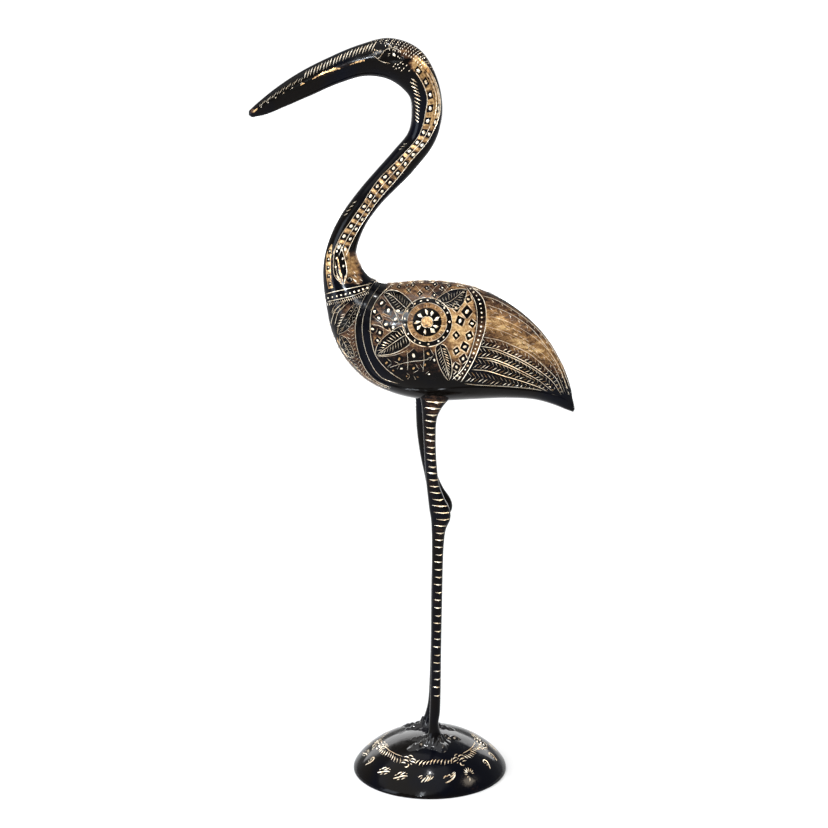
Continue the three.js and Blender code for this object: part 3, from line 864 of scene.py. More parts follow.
def draw_breast(art):
    lines = [smooth(line, 30) for line in NECK_LINES]
    art.patch(np.vstack([lines[0], lines[1][::-1]]), BLACK)
    for line, width in zip(lines, (0.5, 0.4)):
        art.cut(resample(line, 3), width=width)
    for number, share in enumerate(np.arange(0.06, 1, 0.1)):
        centre = at_share(lines[0], share) * 0.42 + at_share(lines[1], share) * 0.58
        art.pit(centre, 0.6 + 0.25 * share, 1.2, number, 5)
    ticks(art, shifted(lines[1], -0.6), 1.6, -2.9, 0.6, 0.4)
    for leaf in BREAST_LEAVES:
        draw_leaf(art, leaf, 4.0, 0.2, 0.22)
    for low, high in BREAST_BOWS:
        middle = (np.array(low) + high) / 2 + BOW_PUSH
        art.cut(curve([low, middle, high], 15, 2), width=0.32)
    for k in range(5):
        start = np.array([-61.4 + 0.9 * k, 371 + 2.2 * k])
        art.cut([start, start + (3.6, 1.1)], width=0.55)
    collar = smooth(WING_FRONT, 60)[6:50]
    art.cut(resample(shifted(collar, -1.4), 3), width=0.32, taper=5)
    for offset, *row in BREAST_ROWS:
        ticks(art, shifted(collar, offset), *row)
    for start, end, width in FLAMES:
        way = np.array(end) - np.array(start)
        bend = np.array([-way[1], way[0]]) * 0.12
        art.cut([start, (np.array(start) + end) / 2 - bend, end], width=width, taper=4, kind=BRASS)


def draw_breast_front(engraving):
    """The neck's lines carried round the front, and rows of strokes down the middle of the breast."""
    for t, width in ((0.5855, 0.5), (0.5965, 0.4)):
        engraving.cut(on_skin([(t - 0.001, 153), (t, 165), (t, 177)]), width=width)
    for angle in (158, 166, 174):
        engraving.pit(on_skin([(0.5915, angle)])[0], 0.7, sides=6)
    for number, t in enumerate(np.arange(0.606, 0.735, 0.0075)):
        reach = 160 + 3 * (number % 2)
        engraving.cut(on_skin([(t, 177.5), (t - 0.002, 170), (t - 0.007, reach)]), width=0.5)
        engraving.cut(on_skin([(t + 0.003, 176), (t + 0.001, 170)]), width=0.36)


BACK_DIAMONDS = [(0.656, 13), (0.673, 6), (0.69, 12), (0.704, 5), (0.736, 5), (0.772, 9), (0.765, 20)]


def draw_back(engraving):
    """Diamonds along the top of the back, which the side drawing can't reach."""
    corners = np.array([(2.4, 0), (0, 2.6), (-2.4, 0), (0, -2.6)])
    for number, middle in enumerate(on_skin(BACK_DIAMONDS)):
        engraving.patch(corners + middle, BLACK)
        engraving.pit(middle, 0.7, sides=6, stretch=1.4, turn=0.9 + 0.5 * number)
    for t in np.arange(0.65, 0.79, 0.02):
        engraving.cut(on_skin([(t, 2), (t + 0.012, 8)]), width=0.34)
        engraving.cut(on_skin([(t + 0.012, 2), (t, 8)]), width=0.34)


def draw_neck_root(art):
    edges = [curve(edge, 30, 2) for edge in NECK_LEAF]
    art.patch(np.vstack([edges[0], edges[1][-2:0:-1]]), BLACK)
    for edge in edges:
        art.cut(edge, width=0.5)
    rib = curve([(-60.2, 426), (-58.4, 415), (-55.6, 405)], 20, 2)
    art.cut(rib, width=1.1, taper=6, kind=BRASS)
    art.cut(curve([(-62.4, 423), (-60.4, 412), (-56.2, 404.6)], 20, 2), width=0.35)
    for x, up in NECK_DOTS:
        art.pit((x, up), 0.75, 1.4, 1.2, 5)
    for k in range(5):
        art.cut([(-61.9 + 0.9 * k, 411.2 - 1.5 * k), (-58.6 + 0.7 * k, 409.6 - 1.35 * k)], width=0.75)
    for k in range(4):
        art.cut([(-53.4 - 0.25 * k, 411.8 - 1.9 * k), (-54.9 - 0.2 * k, 408.4 - 1.5 * k)], width=0.65)
    for strip in (FRONT_STRIP, BACK_STRIP):
        path = smooth(strip, 30)
        wide = STRIP_HALF * ease(np.linspace(1, 0, len(path)) * 3 + 0.25)[:, None]
        left, right = (path + (shifted(path, side) - path) * wide for side in (1, -1))
        art.patch(np.vstack([left, right[::-1]]), BRASS)
    path = smooth(FRONT_STRIP, 30)
    for share in np.arange(0.1, 1, 6.4 / lengths(path)[-1]):
        centre = at_share(path, share)
        art.patch(centre + np.array([(-1.4, -1.8), (1.4, -1.6), (1.3, 1.8), (-1.3, 1.6)]), BLACK)
        art.pit(centre + np.array([0.2, 0.3]), 0.6)
    art.patch(disc(CURL, 2.5), BLACK)
    art.cut(arc(CURL, 1.5, -1.2, 3.2, 0.7), width=0.5)
    for start, end, width in CURL_DASHES:
        art.cut([start, end], width=width)


# Neck, head and bill, drawn as shares of the bird's length and degrees down from its upper edge

def on_skin(marks):
    """Chart positions of marks, each a share and degrees."""
    marks = np.array(marks, float).reshape(-1, 2)
    return to_chart(marks[:, 0], np.radians(marks[:, 1]))


BAND_FRONT_SIDE = [
    (0.262, 82), (0.27, 84), (0.31, 86), (0.33, 96), (0.349, 101), (0.362, 105), (0.384, 111),
    (0.404, 114), (0.427, 120), (0.439, 111), (0.451, 103), (0.477, 103), (0.492, 111), (0.504, 114),
    (0.523, 120),
]
BAND_BACK_SIDE = [
    (0.262, 43), (0.28, 35), (0.304, 28), (0.321, 27), (0.337, 38), (0.356, 56), (0.372, 65),
    (0.397, 73), (0.421, 64), (0.437, 58), (0.464, 51), (0.481, 54), (0.497, 60), (0.523, 72),
]
BAND_CELLS = 18
BEND_CELLS = 5  # the cells at the top, where the band is rubbed bare
# Lines along the bare bend: place across it, width and kind
BEND_LINES = [
    (0.47, 0.4, BLACK), (0.6, 0.35, CUT), (0.72, 0.4, BLACK), (0.81, 0.6, CUT), (0.91, 0.3, CUT),
]
THROAT_NICKS = (0.386, 0.391, 0.396, 0.452, 0.457, 0.462, 0.467)


def draw_neck(engraving):
    """The band of cells down the neck, with its bare bend at the top."""
    front = curve(on_skin(BAND_FRONT_SIDE), 90, 2)
    back = curve(on_skin(BAND_BACK_SIDE), 90, 2)

    def across(share, part):
        return at_share(front, share) * (1 - part) + at_share(back, share) * part

    def box(near, far, low, high):
        return [across(near, low), across(near, high), across(far, high), across(far, low)]

    shares = np.linspace(0.02, 0.995, 60)
    engraving.cut(across(shares, 0.02), width=0.4)
    engraving.cut(across(shares, 0.98), width=0.46)
    engraving.cut(across(np.linspace(0.26, 0.995, 50), 0.5), width=0.3, depth=0.15)
    bend = np.linspace(0.0, 0.27, 16)
    engraving.patch(np.vstack([across(bend, 0.05), across(bend[::-1], 0.95)]), BRASS)
    for number, share in enumerate(np.linspace(0.01, 0.16, 6)):
        part = 0.5 + 0.12 * (number % 2)
        engraving.cut([across(share, part), across(share + 0.02, part + 0.03)], width=0.9, kind=BLACK)
    for part, width, kind in BEND_LINES:
        run = np.linspace(0.03 + 0.04 * part, 0.2 + 0.05 * part, 14)
        engraving.cut(across(run, part), width=width, depth=0.12, kind=kind)
    step = 0.98 / BAND_CELLS
    for cell in range(BAND_CELLS):
        start = 0.012 + step * cell
        columns = ((0.05, 0.47, 0), (0.53, 0.95, 0.1))
        if cell < BEND_CELLS:
            columns = ((0.06, 0.4, 0), (0.66, 0.9, 0.1))[: 1 + cell // 3]
        for low, high, slip in columns:
            near, far = start + (0.02 + slip) * step, start + (0.6 + slip) * step
            engraving.patch(box(near, far, low, high), BLACK)
            middle = across((near + far) / 2, (low + high) / 2)
            engraving.pit(middle, 1.05, 0.45, 6, 1.45, 0.25 * math.sin(cell * 2.1))
        if cell >= BEND_CELLS:
            engraving.patch(box(start + 0.68 * step, start + 0.93 * step, 0.05, 0.47), BRASS)
            engraving.patch(box(start + 0.77 * step, start + 0.98 * step, 0.56, 0.92), BRASS)
    for t in THROAT_NICKS:
        engraving.cut(on_skin([(t, 132), (t + 0.005, 147)]), width=0.5)


MOUTH = [
    (0.015, 108), (0.05, 92), (0.082, 87), (0.109, 86), (0.124, 84), (0.14, 84), (0.157, 90),
    (0.187, 89), (0.205, 92),
]
# Gold along the mouth: where it starts and ends, and its heights on the way
MOUTH_GOLD = [
    ((0.122, 0.157), (1.5, 4.2, 8.5, 4.6, 10.5, 3.0)),
    ((0.169, 0.189), (1.5, 3, 5.4, 3)),
    ((0.106, 0.112), (2.4, 5, 2)),
]
EYE = [
    (-25, 575.7), (-22.9, 579.4), (-18.8, 581.8), (-14, 581.4), (-10.6, 579.1), (-8.5, 576.7),
    (-12.7, 574.7), (-18.1, 574.3),
]
BROW = [
    (-31.8, 579.4), (-29.1, 577.4), (-27.4, 576.7), (-25, 579.4), (-22.9, 582.4), (-19.5, 584.5),
    (-15.4, 584.9), (-12, 583.5), (-10.2, 580.8),
]
LOWER_LID = [(-28.4, 576.2), (-26.4, 575.2), (-23.6, 574), (-20.2, 573.4), (-17.8, 572.8)]
CHEEK = [
    (-15.8, 570.7), (-13.7, 569.1), (-12.3, 572), (-11.3, 569.7), (-8.6, 572.4), (-7.9, 569.1),
    (-5.8, 571.4), (-9.6, 567.6), (-3.8, 567.4), (-14.4, 572.4), (-10.2, 573.6),
]
BROW_NICKS = ((-30.5, 583.6), (-28.6, 582.8), (-27, 582.5), (-25.7, 582.4), (-31.4, 581.6), (-29.4, 580.6))
# Both edges of the row of strokes on the throat, as height and x
THROAT_LEFT = [
    (528, 1.6), (537, 1.4), (540.3, 1.0), (545.4, 0.4), (549, 0.5), (552, -0.4), (557, -2.6),
    (561, -1.6),
]
THROAT_RIGHT = [
    (528, 3.6), (536, 4.2), (540, 4.3), (543.5, 4.8), (547, 5.4), (550.5, 4.8), (554, 3.5), (561, 1.8),
]


def draw_bill(engraving):
    """The mouth with the gold along it, and the strokes on the bill."""
    engraving.cut(curve(on_skin(MOUTH), 60, 3), width=0.7, depth=0.4, kind=BLACK)
    for (start, end), heights in MOUTH_GOLD:
        t = np.linspace(start, end, 2 * len(heights) - 1)
        low = np.interp(t, (0.106, 0.124, 0.14, 0.157, 0.19), (83.5, 82, 82, 88, 87))
        rise = np.interp(np.linspace(0, 1, len(t)), np.linspace(0, 1, len(heights)), heights)
        lower, upper = np.stack([t, low + 0.5], 1), np.stack([t, low - rise], 1)
        engraving.patch(np.vstack([on_skin(lower), on_skin(upper[::-1])]), BRASS)
    for number, t in enumerate(np.arange(0.113, 0.2, 0.0041)):
        low = np.interp(t, (0.113, 0.15, 0.19), (66, 65, 60)) + 2 * math.sin(number * 2.2)
        engraving.cut(on_skin([(t, low), (t + 0.0064, low - 37)]), width=0.82, taper=1.5)
    for number, t in enumerate(np.arange(0.034, 0.108, 0.0035)):
        shift = 4 * math.sin(number * 1.9)
        engraving.cut(on_skin([(t, 66 + shift), (t + 0.005, 50 + shift)]), width=0.36, depth=0.15)
        if number % 4 == 0:
            engraving.cut(on_skin([(t + 0.002, 78), (t + 0.005, 74)]), width=0.6)
    for start, end in ((0.012, 0.024), (0.016, 0.03)):
        engraving.cut(on_skin([(start, 84), (end, 66)]), width=1.0, kind=BRASS)


def draw_head(engraving, art):
    """The eye and what surrounds it, the strokes on the throat and rows on the crown."""
    art.patch(smooth(EYE + EYE[:1], 25)[:-1], BLACK)
    art.cut(curve(BROW, 40, 1.5), width=0.38)
    art.cut(curve(LOWER_LID, 20, 1.5), width=0.3)
    art.pit((-15.2, 579.6), 0.95, 1.5, 2.2, 7, 0.4)
    art.pit((-12.2, 578.1), 0.45, 1.3, 0.5, 5)
    art.pit((-10.9, 577), 0.4, 1.3, 0.5, 5)
    art.cut([(-20, 579.9), (-17.8, 580.9)], width=0.5)
    art.cut([(-20.2, 578.6), (-18.8, 579)], width=0.35)
    for x, up in CHEEK:
        art.cut([(x - 0.6, up - 0.5), (x + 0.7, up + 0.7)], width=0.66, taper=0.8)
    for x, up in BROW_NICKS:
        art.cut([(x, up + 0.8), (x + 0.5, up - 1)], width=0.5)
    for number, up in enumerate(np.arange(560.4, 529, -2.75)):
        left = np.interp(up, *np.array(THROAT_LEFT).T)
        right = np.interp(up, *np.array(THROAT_RIGHT).T)
        art.cut([(left - 0.7, up + 1.6), (right + 0.3, up - 1.6)], width=0.95, taper=0.8)
    for row in range(5):
        degrees = 13 + 11.5 * row
        for t in np.arange(0.2 + 0.006 * row, 0.286 - 0.003 * row, 0.0037):
            lean = 0.0012 * math.sin(t * 900 + row)
            engraving.cut(on_skin([(t, degrees + 4.6), (t + lean, degrees - 4.6)]), width=0.52, taper=0.9)


# The skin as one engraved half

GRID = 2.3
EDGE_CLEAR = 1.04  # filling points stay inside the chart's edges by this factor
WING_SLOPE = 1.1
WING_EDGE_LINES = (-0.6, -0.2, 0.2, 0.6)
EYE_RISE = 0.8
EYE_SLOPE = 2.2


def inside_bird(chart):
    girth = np.interp(chart[:, 0], SIDE_LENGTH, GIRTH)
    return (np.abs(chart[:, 1]) < girth / 2) & (chart[:, 0] > 0) & (chart[:, 0] < SIDE_LENGTH[-1])


def bird_half():
    engraving = Engraving()
    border = resample(np.stack([SIDE_LENGTH, GIRTH / 2], 1), 1.6)
    engraving.line(border)
    engraving.line(border * [1, -1])
    engraving.line([border[0] * [1, side] for side in np.linspace(1, -1, 5)])
    engraving.line([border[-1] * [1, side] for side in np.linspace(1, -1, 3)])

    front = carve(curve(WING_FRONT, 60, 2))
    foot = carve(curve(WING_FOOT, 60, 2))
    edge = np.vstack([front, foot[1:]])
    edge = edge[np.concatenate([[True], np.linalg.norm(np.diff(edge, axis=0), axis=1) > 0.4])]
    beyond = [(SIDE_LENGTH[-1] + 9, edge[-1][1]), (SIDE_LENGTH[-1] + 9, -90), (edge[0][0], -90)]
    RELIEF.add(np.vstack([edge, beyond]), WING_RISE, WING_SLOPE)
    for offset in WING_EDGE_LINES:
        engraving.line(shifted(edge, offset))

    eye = carve(smooth(EYE + EYE[:1], 25)[:-1])
    RELIEF.add(eye, EYE_RISE, EYE_SLOPE)

    art = Drawing()
    draw_wing(art)
    draw_breast(art)
    draw_neck_root(art)
    draw_bill(engraving)
    draw_head(engraving, art)
    draw_neck(engraving)
    draw_back(engraving)
    draw_breast_front(engraving)
    art.lay(engraving)

    low = (0, -GIRTH.max() / 2)
    high = (SIDE_LENGTH[-1], GIRTH.max() / 2)
    engraving.fill(low, high, GRID, lambda grid: inside_bird(grid * [1, EDGE_CLEAR]))
    return engraving.triangles(inside_bird)


def make_bird():
    chart, depth, tris, kinds = bird_half()
    points, normals = bird_surface(chart)
    points = points - normals * depth[:, None]
    girth = np.interp(chart[:, 0], SIDE_LENGTH, GIRTH)
    seam = np.abs(chart[:, 1]) > girth / 2 - 0.02
    points[seam, 1] = 0
    normals[seam, 1] = 0
    t, angle = from_chart(chart)
    plane = in_carving(t, angle)
    # wear of the lacquer, with painted light and shade laid into the same field
    fields = {"wear": wear_and_light_of(plane, t, angle)}
    return both_sides(points, normals, tris, kinds, fields)


def spot(x, y, centre, size):
    """A soft round patch: 1 in its middle, fading to none."""
    return np.exp(-(((x - centre[0]) / size[0]) ** 2) - ((y - centre[1]) / size[1]) ** 2)


def between(first, second):
    """Outline of the area between two lines drawn the same way."""
    return np.vstack([smooth(first, 20), smooth(second, 20)[::-1]])


def wing_wear_and_light(plane, t, degrees):
    """Wear of the wing, with painted light and shade in places: its feathers, ground, border, medallion and
    shoulder.
    """
    x, up = plane[:, 0], plane[:, 1]
    wing = ease((t - 0.6) / 0.02)
    # the long feathers, lighter along a sweep that falls towards the tail, partly rubbed and partly a
    # painted reflection; above the sweep they are lighter still as painted light from above
    feathers = ease((x - 50) / 6) * ease((up - 314) / 6) * ease((127 - x) / 6)
    fall = up - 371 + 0.52 * (x - 60)
    golden = np.exp(-((fall / 11) ** 2)) * ease((x - 50) / 8) * (1 - 0.3 * ease((x - 106) / 10))
    upper = ease((fall - 2) / 10)
    wear = wing * feathers * np.clip(0.08 + 0.66 * golden + 0.34 * upper, 0, 1)
    wear = wear * (1 - 0.7 * ease((11 - degrees) / 5))
    # the ground between the ornaments, darker towards the bottom as painted shade and lighter on the right
    ground = edge_distance(plane, between(COLLAR_INNER, BAND_INNER))
    tone = 0.4 - 0.16 * ease((354 - up) / 8) - 0.12 * ease((337 - up) / 8)
    tone = tone + 0.35 * ease((x - 25) / 5) * ease((up - 334) / 14)
    wear = np.maximum(wear, ease(ground / 1.5 + 0.2) * wing * tone)
    # the border, which has a tone of its own and is lighter between heights 344 and 378; the lighter tone is
    # partly painted sheen
    border = edge_distance(plane, between(BAND_INNER, BAND_OUTER))
    tone = 0.2 + 0.24 * ease((378 - up) / 12) * ease((up - 344) / 8)
    wear = np.where((border > 0) & (t > 0.6), tone, wear)
    # the medallion inside its rim, rubbed, and lighter below as a painted highlight
    out = np.hypot(x - MEDALLION[0], up - MEDALLION[1])
    tone = 0.68 - 0.14 * ease((up - 380) / 8)
    wear = np.where((out < 15.8) & (t > 0.6), tone, wear)
    # the shoulder, and the back behind it
    shoulder = ease((up - 391) / 9) * ease((60 - x) / 20) * ease((x + 26) / 8)
    wear = np.maximum(wear, wing * 0.46 * shoulder)
    return np.maximum(wear, wing * 0.32 * spot(x, up, (62, 400), (30, 9)))


def breast_wear(plane, t):
    """Wear in front of the wing's edge and around the leaf at the foot of the neck."""
    x, up = plane[:, 0], plane[:, 1]
    breast = ease((t - 0.52) / 0.02)
    # negative in front of the wing's edge
    collar = edge_distance(plane, np.vstack([smooth(WING_FRONT, 30), [(60, 320), (60, 440)]]))
    apron = ease((-collar - 0.4) / 1.5) * ease((392 - up) / 4) * ease((-12 - x) / 18) * (collar > -40)
    root = ease((t - 0.5) / 0.03) * ease((up - 403) / 3) * ease((442 - up) / 8)
    return np.maximum.reduce([
        breast * 0.32 * apron * ease((14 + collar) / 8 + 0.6),
        root * 0.62 * ease((x + 57) / 5) * ease((-38 - x) / 6),
        root * 0.25 * ease((-57 - x) / 3) * ease((x + 69) / 2),
    ])


def neck_wear_and_light(t, degrees):
    """Wear along the band of the neck, on the head and on the bill, with a painted highlight at the bend."""
    front = np.interp(t, *np.array(BAND_FRONT_SIDE).T)
    back = np.interp(t, *np.array(BAND_BACK_SIDE).T)
    band = ease((front - degrees) / 6 + 0.3) * ease((degrees - back) / 6 + 0.3) * ease((t - 0.25) / 0.01)
    # the band is lightest at its bend at the top: rubbed brass, partly a painted highlight
    tone = np.interp(t, (0.27, 0.34, 0.4), (0.95, 0.62, 0.52))
    return np.maximum.reduce([
        band * ease((0.53 - t) / 0.02) * tone,
        # the back of the head
        0.85 * spot(t, degrees, (0.266, 64), (0.014, 18)),
        0.62 * spot(t, degrees, (0.246, 60), (0.012, 15)),
        # the crown
        0.22 * ease((64 - degrees) / 14) * ease((t - 0.215) / 0.02) * ease((0.3 - t) / 0.02),
        # the tip of the bill, then its mouth
        0.42 * spot(t, degrees, (0.014, 60), (0.009, 50)),
        0.3 * spot(t, degrees, (0.15, 84), (0.04, 8)),
    ])


def wear_and_light_of(plane, t, angle):
    """How far the lacquer is rubbed through, from none to all of it, with painted light and shade laid into
    the same field.
    """
    degrees = np.degrees(angle)
    parts = [wing_wear_and_light(plane, t, degrees), breast_wear(plane, t), neck_wear_and_light(t, degrees)]
    return np.clip(np.maximum.reduce(parts), 0, 1)


# Legs

# Height, then x, half depth and half width of the section, and how much further back or
# forward the right leg stands at that height
LEG_ROWS = [
    (352, 17, 15, 6.5, -3), (334, 18.6, 17, 6.8, -3.6), (327, 17.2, 12.6, 6.4, -4.2),
    (321, 15.2, 9.3, 5.9, -4.9), (316, 13.8, 7.4, 5.5, -5.2), (309, 12.6, 5.8, 5, -5.4),
    (292, 12.6, 4.9, 4.7, -5.5), (270, 13.6, 4.8, 4.7, -3.7), (254, 15.2, 5.2, 4.9, -1.6),
    (242, 18, 6.7, 5.3, -0.6), (233, 20.6, 8.3, 5.8, 0.9), (225, 21.6, 8, 5.8, 2),
    (216, 20.1, 5.9, 5.1, 2), (203, 19.4, 4.9, 4.5, 1), (156, 18.7, 4.4, 4.2, 0),
    (110, 18.2, 4.2, 4.1, 0), (76, 17.8, 4.3, 4.2, -0.4), (55, 17.2, 4.3, 4.2, -0.9),
    (46, 16.4, 4, 4.2, -2), (39, 16.8, 5, 5, -3.6), (33, 17.2, 7.2, 6.8, -4.6),
    (26, 17.4, 9, 8.4, -5),
]
HIP_HALF_GAP = 14.5
FOOT_HALF_GAP = 15
LEG_TABLE = smooth(LEG_ROWS, 600)[::-1]
LEG_CHART_RADIUS = 5
LEG_GRID = 1.9
LEG_TOP = 348
LEG_FOOT = 27
HIGHEST_MARK = 324.0
LOWEST_MARK = 71


def leg_surface(side, chart):
    """The skin of a leg; the chart runs around it and up it, with 0 on its outer side."""
    z = chart[:, 1]
    x, fore, wide, lean = (np.interp(z, LEG_TABLE[:, 0], LEG_TABLE[:, k]) for k in range(1, 5))
    turn = chart[:, 0] / LEG_CHART_RADIUS
    if side > 0:
        x = x + lean
    gap = FOOT_HALF_GAP + (HIP_HALF_GAP - FOOT_HALF_GAP) * z / LEG_ROWS[0][0]
    return np.stack([x + fore * np.sin(turn), side * (gap + wide * np.cos(turn)), z], 1)


def leg_normals(side, chart):
    step = 0.05
    here = leg_surface(side, chart)
    sideways = leg_surface(side, chart + [step, 0]) - here
    upward = leg_surface(side, chart + [0, step]) - here
    return unit(np.cross(upward, sideways) * side)


def leg_cuts(engraving):
    """Short strokes across the outer side, closer together above the knee."""
    z = HIGHEST_MARK
    number = 0
    while z > LOWEST_MARK:
        wobble = math.sin(number * 2.4)
        fall = np.interp(z, (72, 200, 322), (0.6, 0.9, 1.5)) + 0.4 * wobble
        start = np.array([np.interp(z, (72, 200, 322), (-2.6, -3, -3.6)) - 0.8 * wobble, z + fall / 2])
        end = np.array([6.3, z - fall / 2])
        width = np.interp(z, (72, 230, 322), (0.95, 1.1, 1.35)) + 0.22 * math.sin(number * 1.3)
        middle = (start + end) / 2 + [0, 0.3 * wobble]
        engraving.cut([start, middle, end], width=width, depth=0.35, taper=0.5)
        z -= np.interp(z, (72, 200, 240, 322), (7.3, 6.4, 5.5, 5.4))
        number += 1


def make_leg(side):
    """A leg as a closed tube, engraved on its outer side."""
    engraving = Engraving()
    edge = math.pi * LEG_CHART_RADIUS
    heights = np.linspace(LEG_FOOT, LEG_TOP, 150)
    sideways = np.linspace(-edge, edge, 21)
    for u in (-edge, edge):
        engraving.line(np.stack([np.full_like(heights, u), heights], 1))
    for v in (LEG_FOOT, LEG_TOP):
        engraving.line(np.stack([sideways, np.full_like(sideways, v)], 1))
    leg_cuts(engraving)

    def inside(chart):
        u, v = chart[:, 0], chart[:, 1]
        return (np.abs(u) < edge - 0.4) & (v > LEG_FOOT + 0.4) & (v < LEG_TOP - 0.4)

    engraving.fill((-edge, LEG_FOOT), (edge, LEG_TOP), LEG_GRID, inside)
    chart, depth, tris, kinds = engraving.triangles(lambda c: np.abs(c[:, 0]) < edge)
    chart[:, 0] = np.clip(chart[:, 0], -edge, edge)
    points, normals = leg_surface(side, chart), leg_normals(side, chart)
    points = points - normals * depth[:, None]
    for v, facing in ((LEG_FOOT, -1), (LEG_TOP, 1)):
        ring = np.where(np.abs(chart[:, 1] - v) < 1e-4)[0]
        ring = ring[np.argsort(chart[ring, 0])]
        centre = len(points)
        points = np.vstack([points, points[ring].mean(0)])
        normals = np.vstack([normals, [0, 0, facing]])
        cap = [(centre, a, b) if facing > 0 else (centre, b, a) for a, b in zip(ring, ring[1:])]
        tris = np.vstack([tris, cap])
        kinds = np.concatenate([kinds, np.zeros(len(cap), int)])
    if side > 0:
        tris = tris[:, ::-1]
    turn = np.abs(np.append(chart[:, 0], [0, 0])) / LEG_CHART_RADIUS
    wear = np.interp(points[:, 2], (60, 90, 200, 330), (0, 0.1, 0.16, 0.24))
    return points, normals, tris, kinds, {"wear": ease(1.6 - turn) * wear}


# Base: an open dome; the chart is the dome rolled out flat around its top

BASE_X = 13.3
BASE_RADIUS = 64
BASE_HEIGHT = 32
LIP_HEIGHT = 1.5
DOME_TOP_POWER = 2.2
DOME_FLANK_POWER = 1.25
WALL = 4


def dome_height(distance):
    """Height of the dome's outside at a distance from its axis."""
    share = np.clip(np.asarray(distance, float) / BASE_RADIUS, 0, 1)
    fall = (1 - share**DOME_TOP_POWER) ** (1 / DOME_FLANK_POWER)
    return LIP_HEIGHT + (BASE_HEIGHT - LIP_HEIGHT) * fall


PROFILE_R = BASE_RADIUS * np.sin(np.linspace(0, math.pi / 2, 400))
PROFILE_LENGTH = lengths(np.stack([PROFILE_R, dome_height(PROFILE_R)], 1))


def dome_surface(chart):
    rolled = np.hypot(chart[:, 0], chart[:, 1])
    distance = np.interp(rolled, PROFILE_LENGTH, PROFILE_R)
    scale = distance / np.maximum(rolled, 1e-9)
    return np.stack([BASE_X + chart[:, 0] * scale, chart[:, 1] * scale, dome_height(distance)], 1)


def around_dome(distance, degrees):
    """Chart position at a distance from the dome's axis and a direction, 0 towards the tail."""
    rolled = np.interp(distance, PROFILE_R, PROFILE_LENGTH)
    turn = np.radians(degrees)
    return np.stack([rolled * np.cos(turn), rolled * np.sin(turn)], -1)


def ring_axes(degrees, flip):
    """Directions on the dome's chart: along the ring, and towards the top."""
    turn = math.radians(degrees)
    inward = -np.array([math.cos(turn), math.sin(turn)])
    return np.array([inward[1], -inward[0]]) * flip, inward


# Ornaments of the base as strokes, each along and across its ring, with how wide it is

SPRAY = [
    ([(-6, 0.8), (-4.4, 2.2), (-2.4, 2.4)], 0.9), ([(-4.6, -0.4), (-2.6, 1.2)], 0.7),
    ([(-3.6, -3.2), (-1.8, -0.8), (0.4, 1.2)], 1.1), ([(-1, -2.8), (1.1, -0.4), (2.4, 2.6)], 1.1),
    ([(1.2, -2.4), (3.1, 0.4), (3.8, 2.8)], 0.9), ([(3.2, -0.8), (5, 0.8), (6.2, 2.6)], 0.8),
    ([(0.6, 1.4), (1.4, 3.2)], 0.6),
]
LONG_LEAF = [
    ([(-6.2, -0.2), (-4, 1.8), (-2.4, 1.4)], 1.0), ([(-3.2, 0.6), (-1, 2.3), (0.9, 1.3)], 0.8),
    ([(-5.6, -3.6), (-2, -2.8), (1.6, -1), (4.6, 2.2)], 1.2), ([(-0.8, 0), (2.2, 1.3), (5.2, 3.8)], 1.0),
    ([(1.4, 2.4), (4.4, 4.2)], 0.8),
]
# Rays of a rosette: direction and reach
ROSETTE_RAYS = [
    (5, 3.6), (28, 4.4), (50, 4.8), (72, 5), (94, 4.8), (117, 4.8), (140, 4.4), (165, 3.8),
    (205, 3), (240, 5),
]
ROSETTE = [
    ([around((0, -1), 1.9, degrees), around((0, -1), 1.25 * reach, degrees)], 0.62)
    for degrees, reach in ROSETTE_RAYS
]
HOOK = [
    ([(-2, 2.6), (0.2, 4.2), (2.4, 3.6), (2.8, 1), (1, -2), (-0.8, -4.4)], 1.2),
    ([(-1.8, 1.2), (0, 2.2), (0.8, 0.6)], 0.9), ([(-1.2, -0.6), (0.6, -0.2)], 0.7),
]
TWIG = [
    ([(-6, -3.2), (-2, -1.6), (2, 0.4), (5.6, 1)], 0.9), ([(-3.8, 0.2), (-2, 2.4), (0.4, 3.2)], 0.8),
    ([(-1, 0.2), (1, 2.2), (2.6, 3.8)], 0.8), ([(1.2, -2.8), (3, -1.2), (4.2, -0.6)], 0.8),
    ([(-2.2, -3.8), (-0.2, -2.4)], 0.7), ([(-5.4, -0.8), (-3.8, 0.4)], 0.7), ([(3.2, 2.2), (4.6, 3)], 0.6),
]
FLOWER = [
    ([(-5, 1.4), (-2.6, 2.8), (-0.4, 2)], 0.8), ([(-5.6, -0.6), (-3.4, 0.4), (-1.4, 0)], 0.8),
    ([(-0.4, -0.6), (2, 0.5), (4.8, 0.3)], 0.9), ([(0.4, 2.2), (2.8, 3.6), (5.2, 2.8)], 0.8),
    ([(-2, 3.6), (0, 5), (1.8, 4.8)], 0.7), ([(1.2, -2.2), (3.4, -1.6), (5, -2.2)], 0.8),
    ([(-0.2, -2), (-1.4, -3.4), (-0.4, -5), (1.4, -4.8)], 0.9), ([(-3.4, -2.2), (-1.8, -1.4)], 0.7),
    ([(-1.4, 0.8), (0.4, 1.2)], 0.7),
]
LOWER_RING = [
    SPRAY, LONG_LEAF, ROSETTE, HOOK, HOOK, TWIG, SPRAY, TWIG, LONG_LEAF, ROSETTE, TWIG, HOOK, SPRAY,
    TWIG, HOOK, TWIG, TWIG,
]
LOWER_RING_DISTANCE = 53.8
UPPER_RING_DISTANCE = 40
FLOWERS = 6


def ornament(engraving, strokes, distance, degrees, size=1.0, flip=1):
    """Strokes laid on the dome, along its ring and towards its top."""
    middle = around_dome(distance, degrees)
    along, inward = ring_axes(degrees, flip)
    for path, width in strokes:
        path = np.array(path)
        path = curve(path, 12, 1.6) if len(path) > 2 else path
        engraving.cut(middle + (path[:, :1] * along + path[:, 1:] * inward) * size, width=width, taper=2)


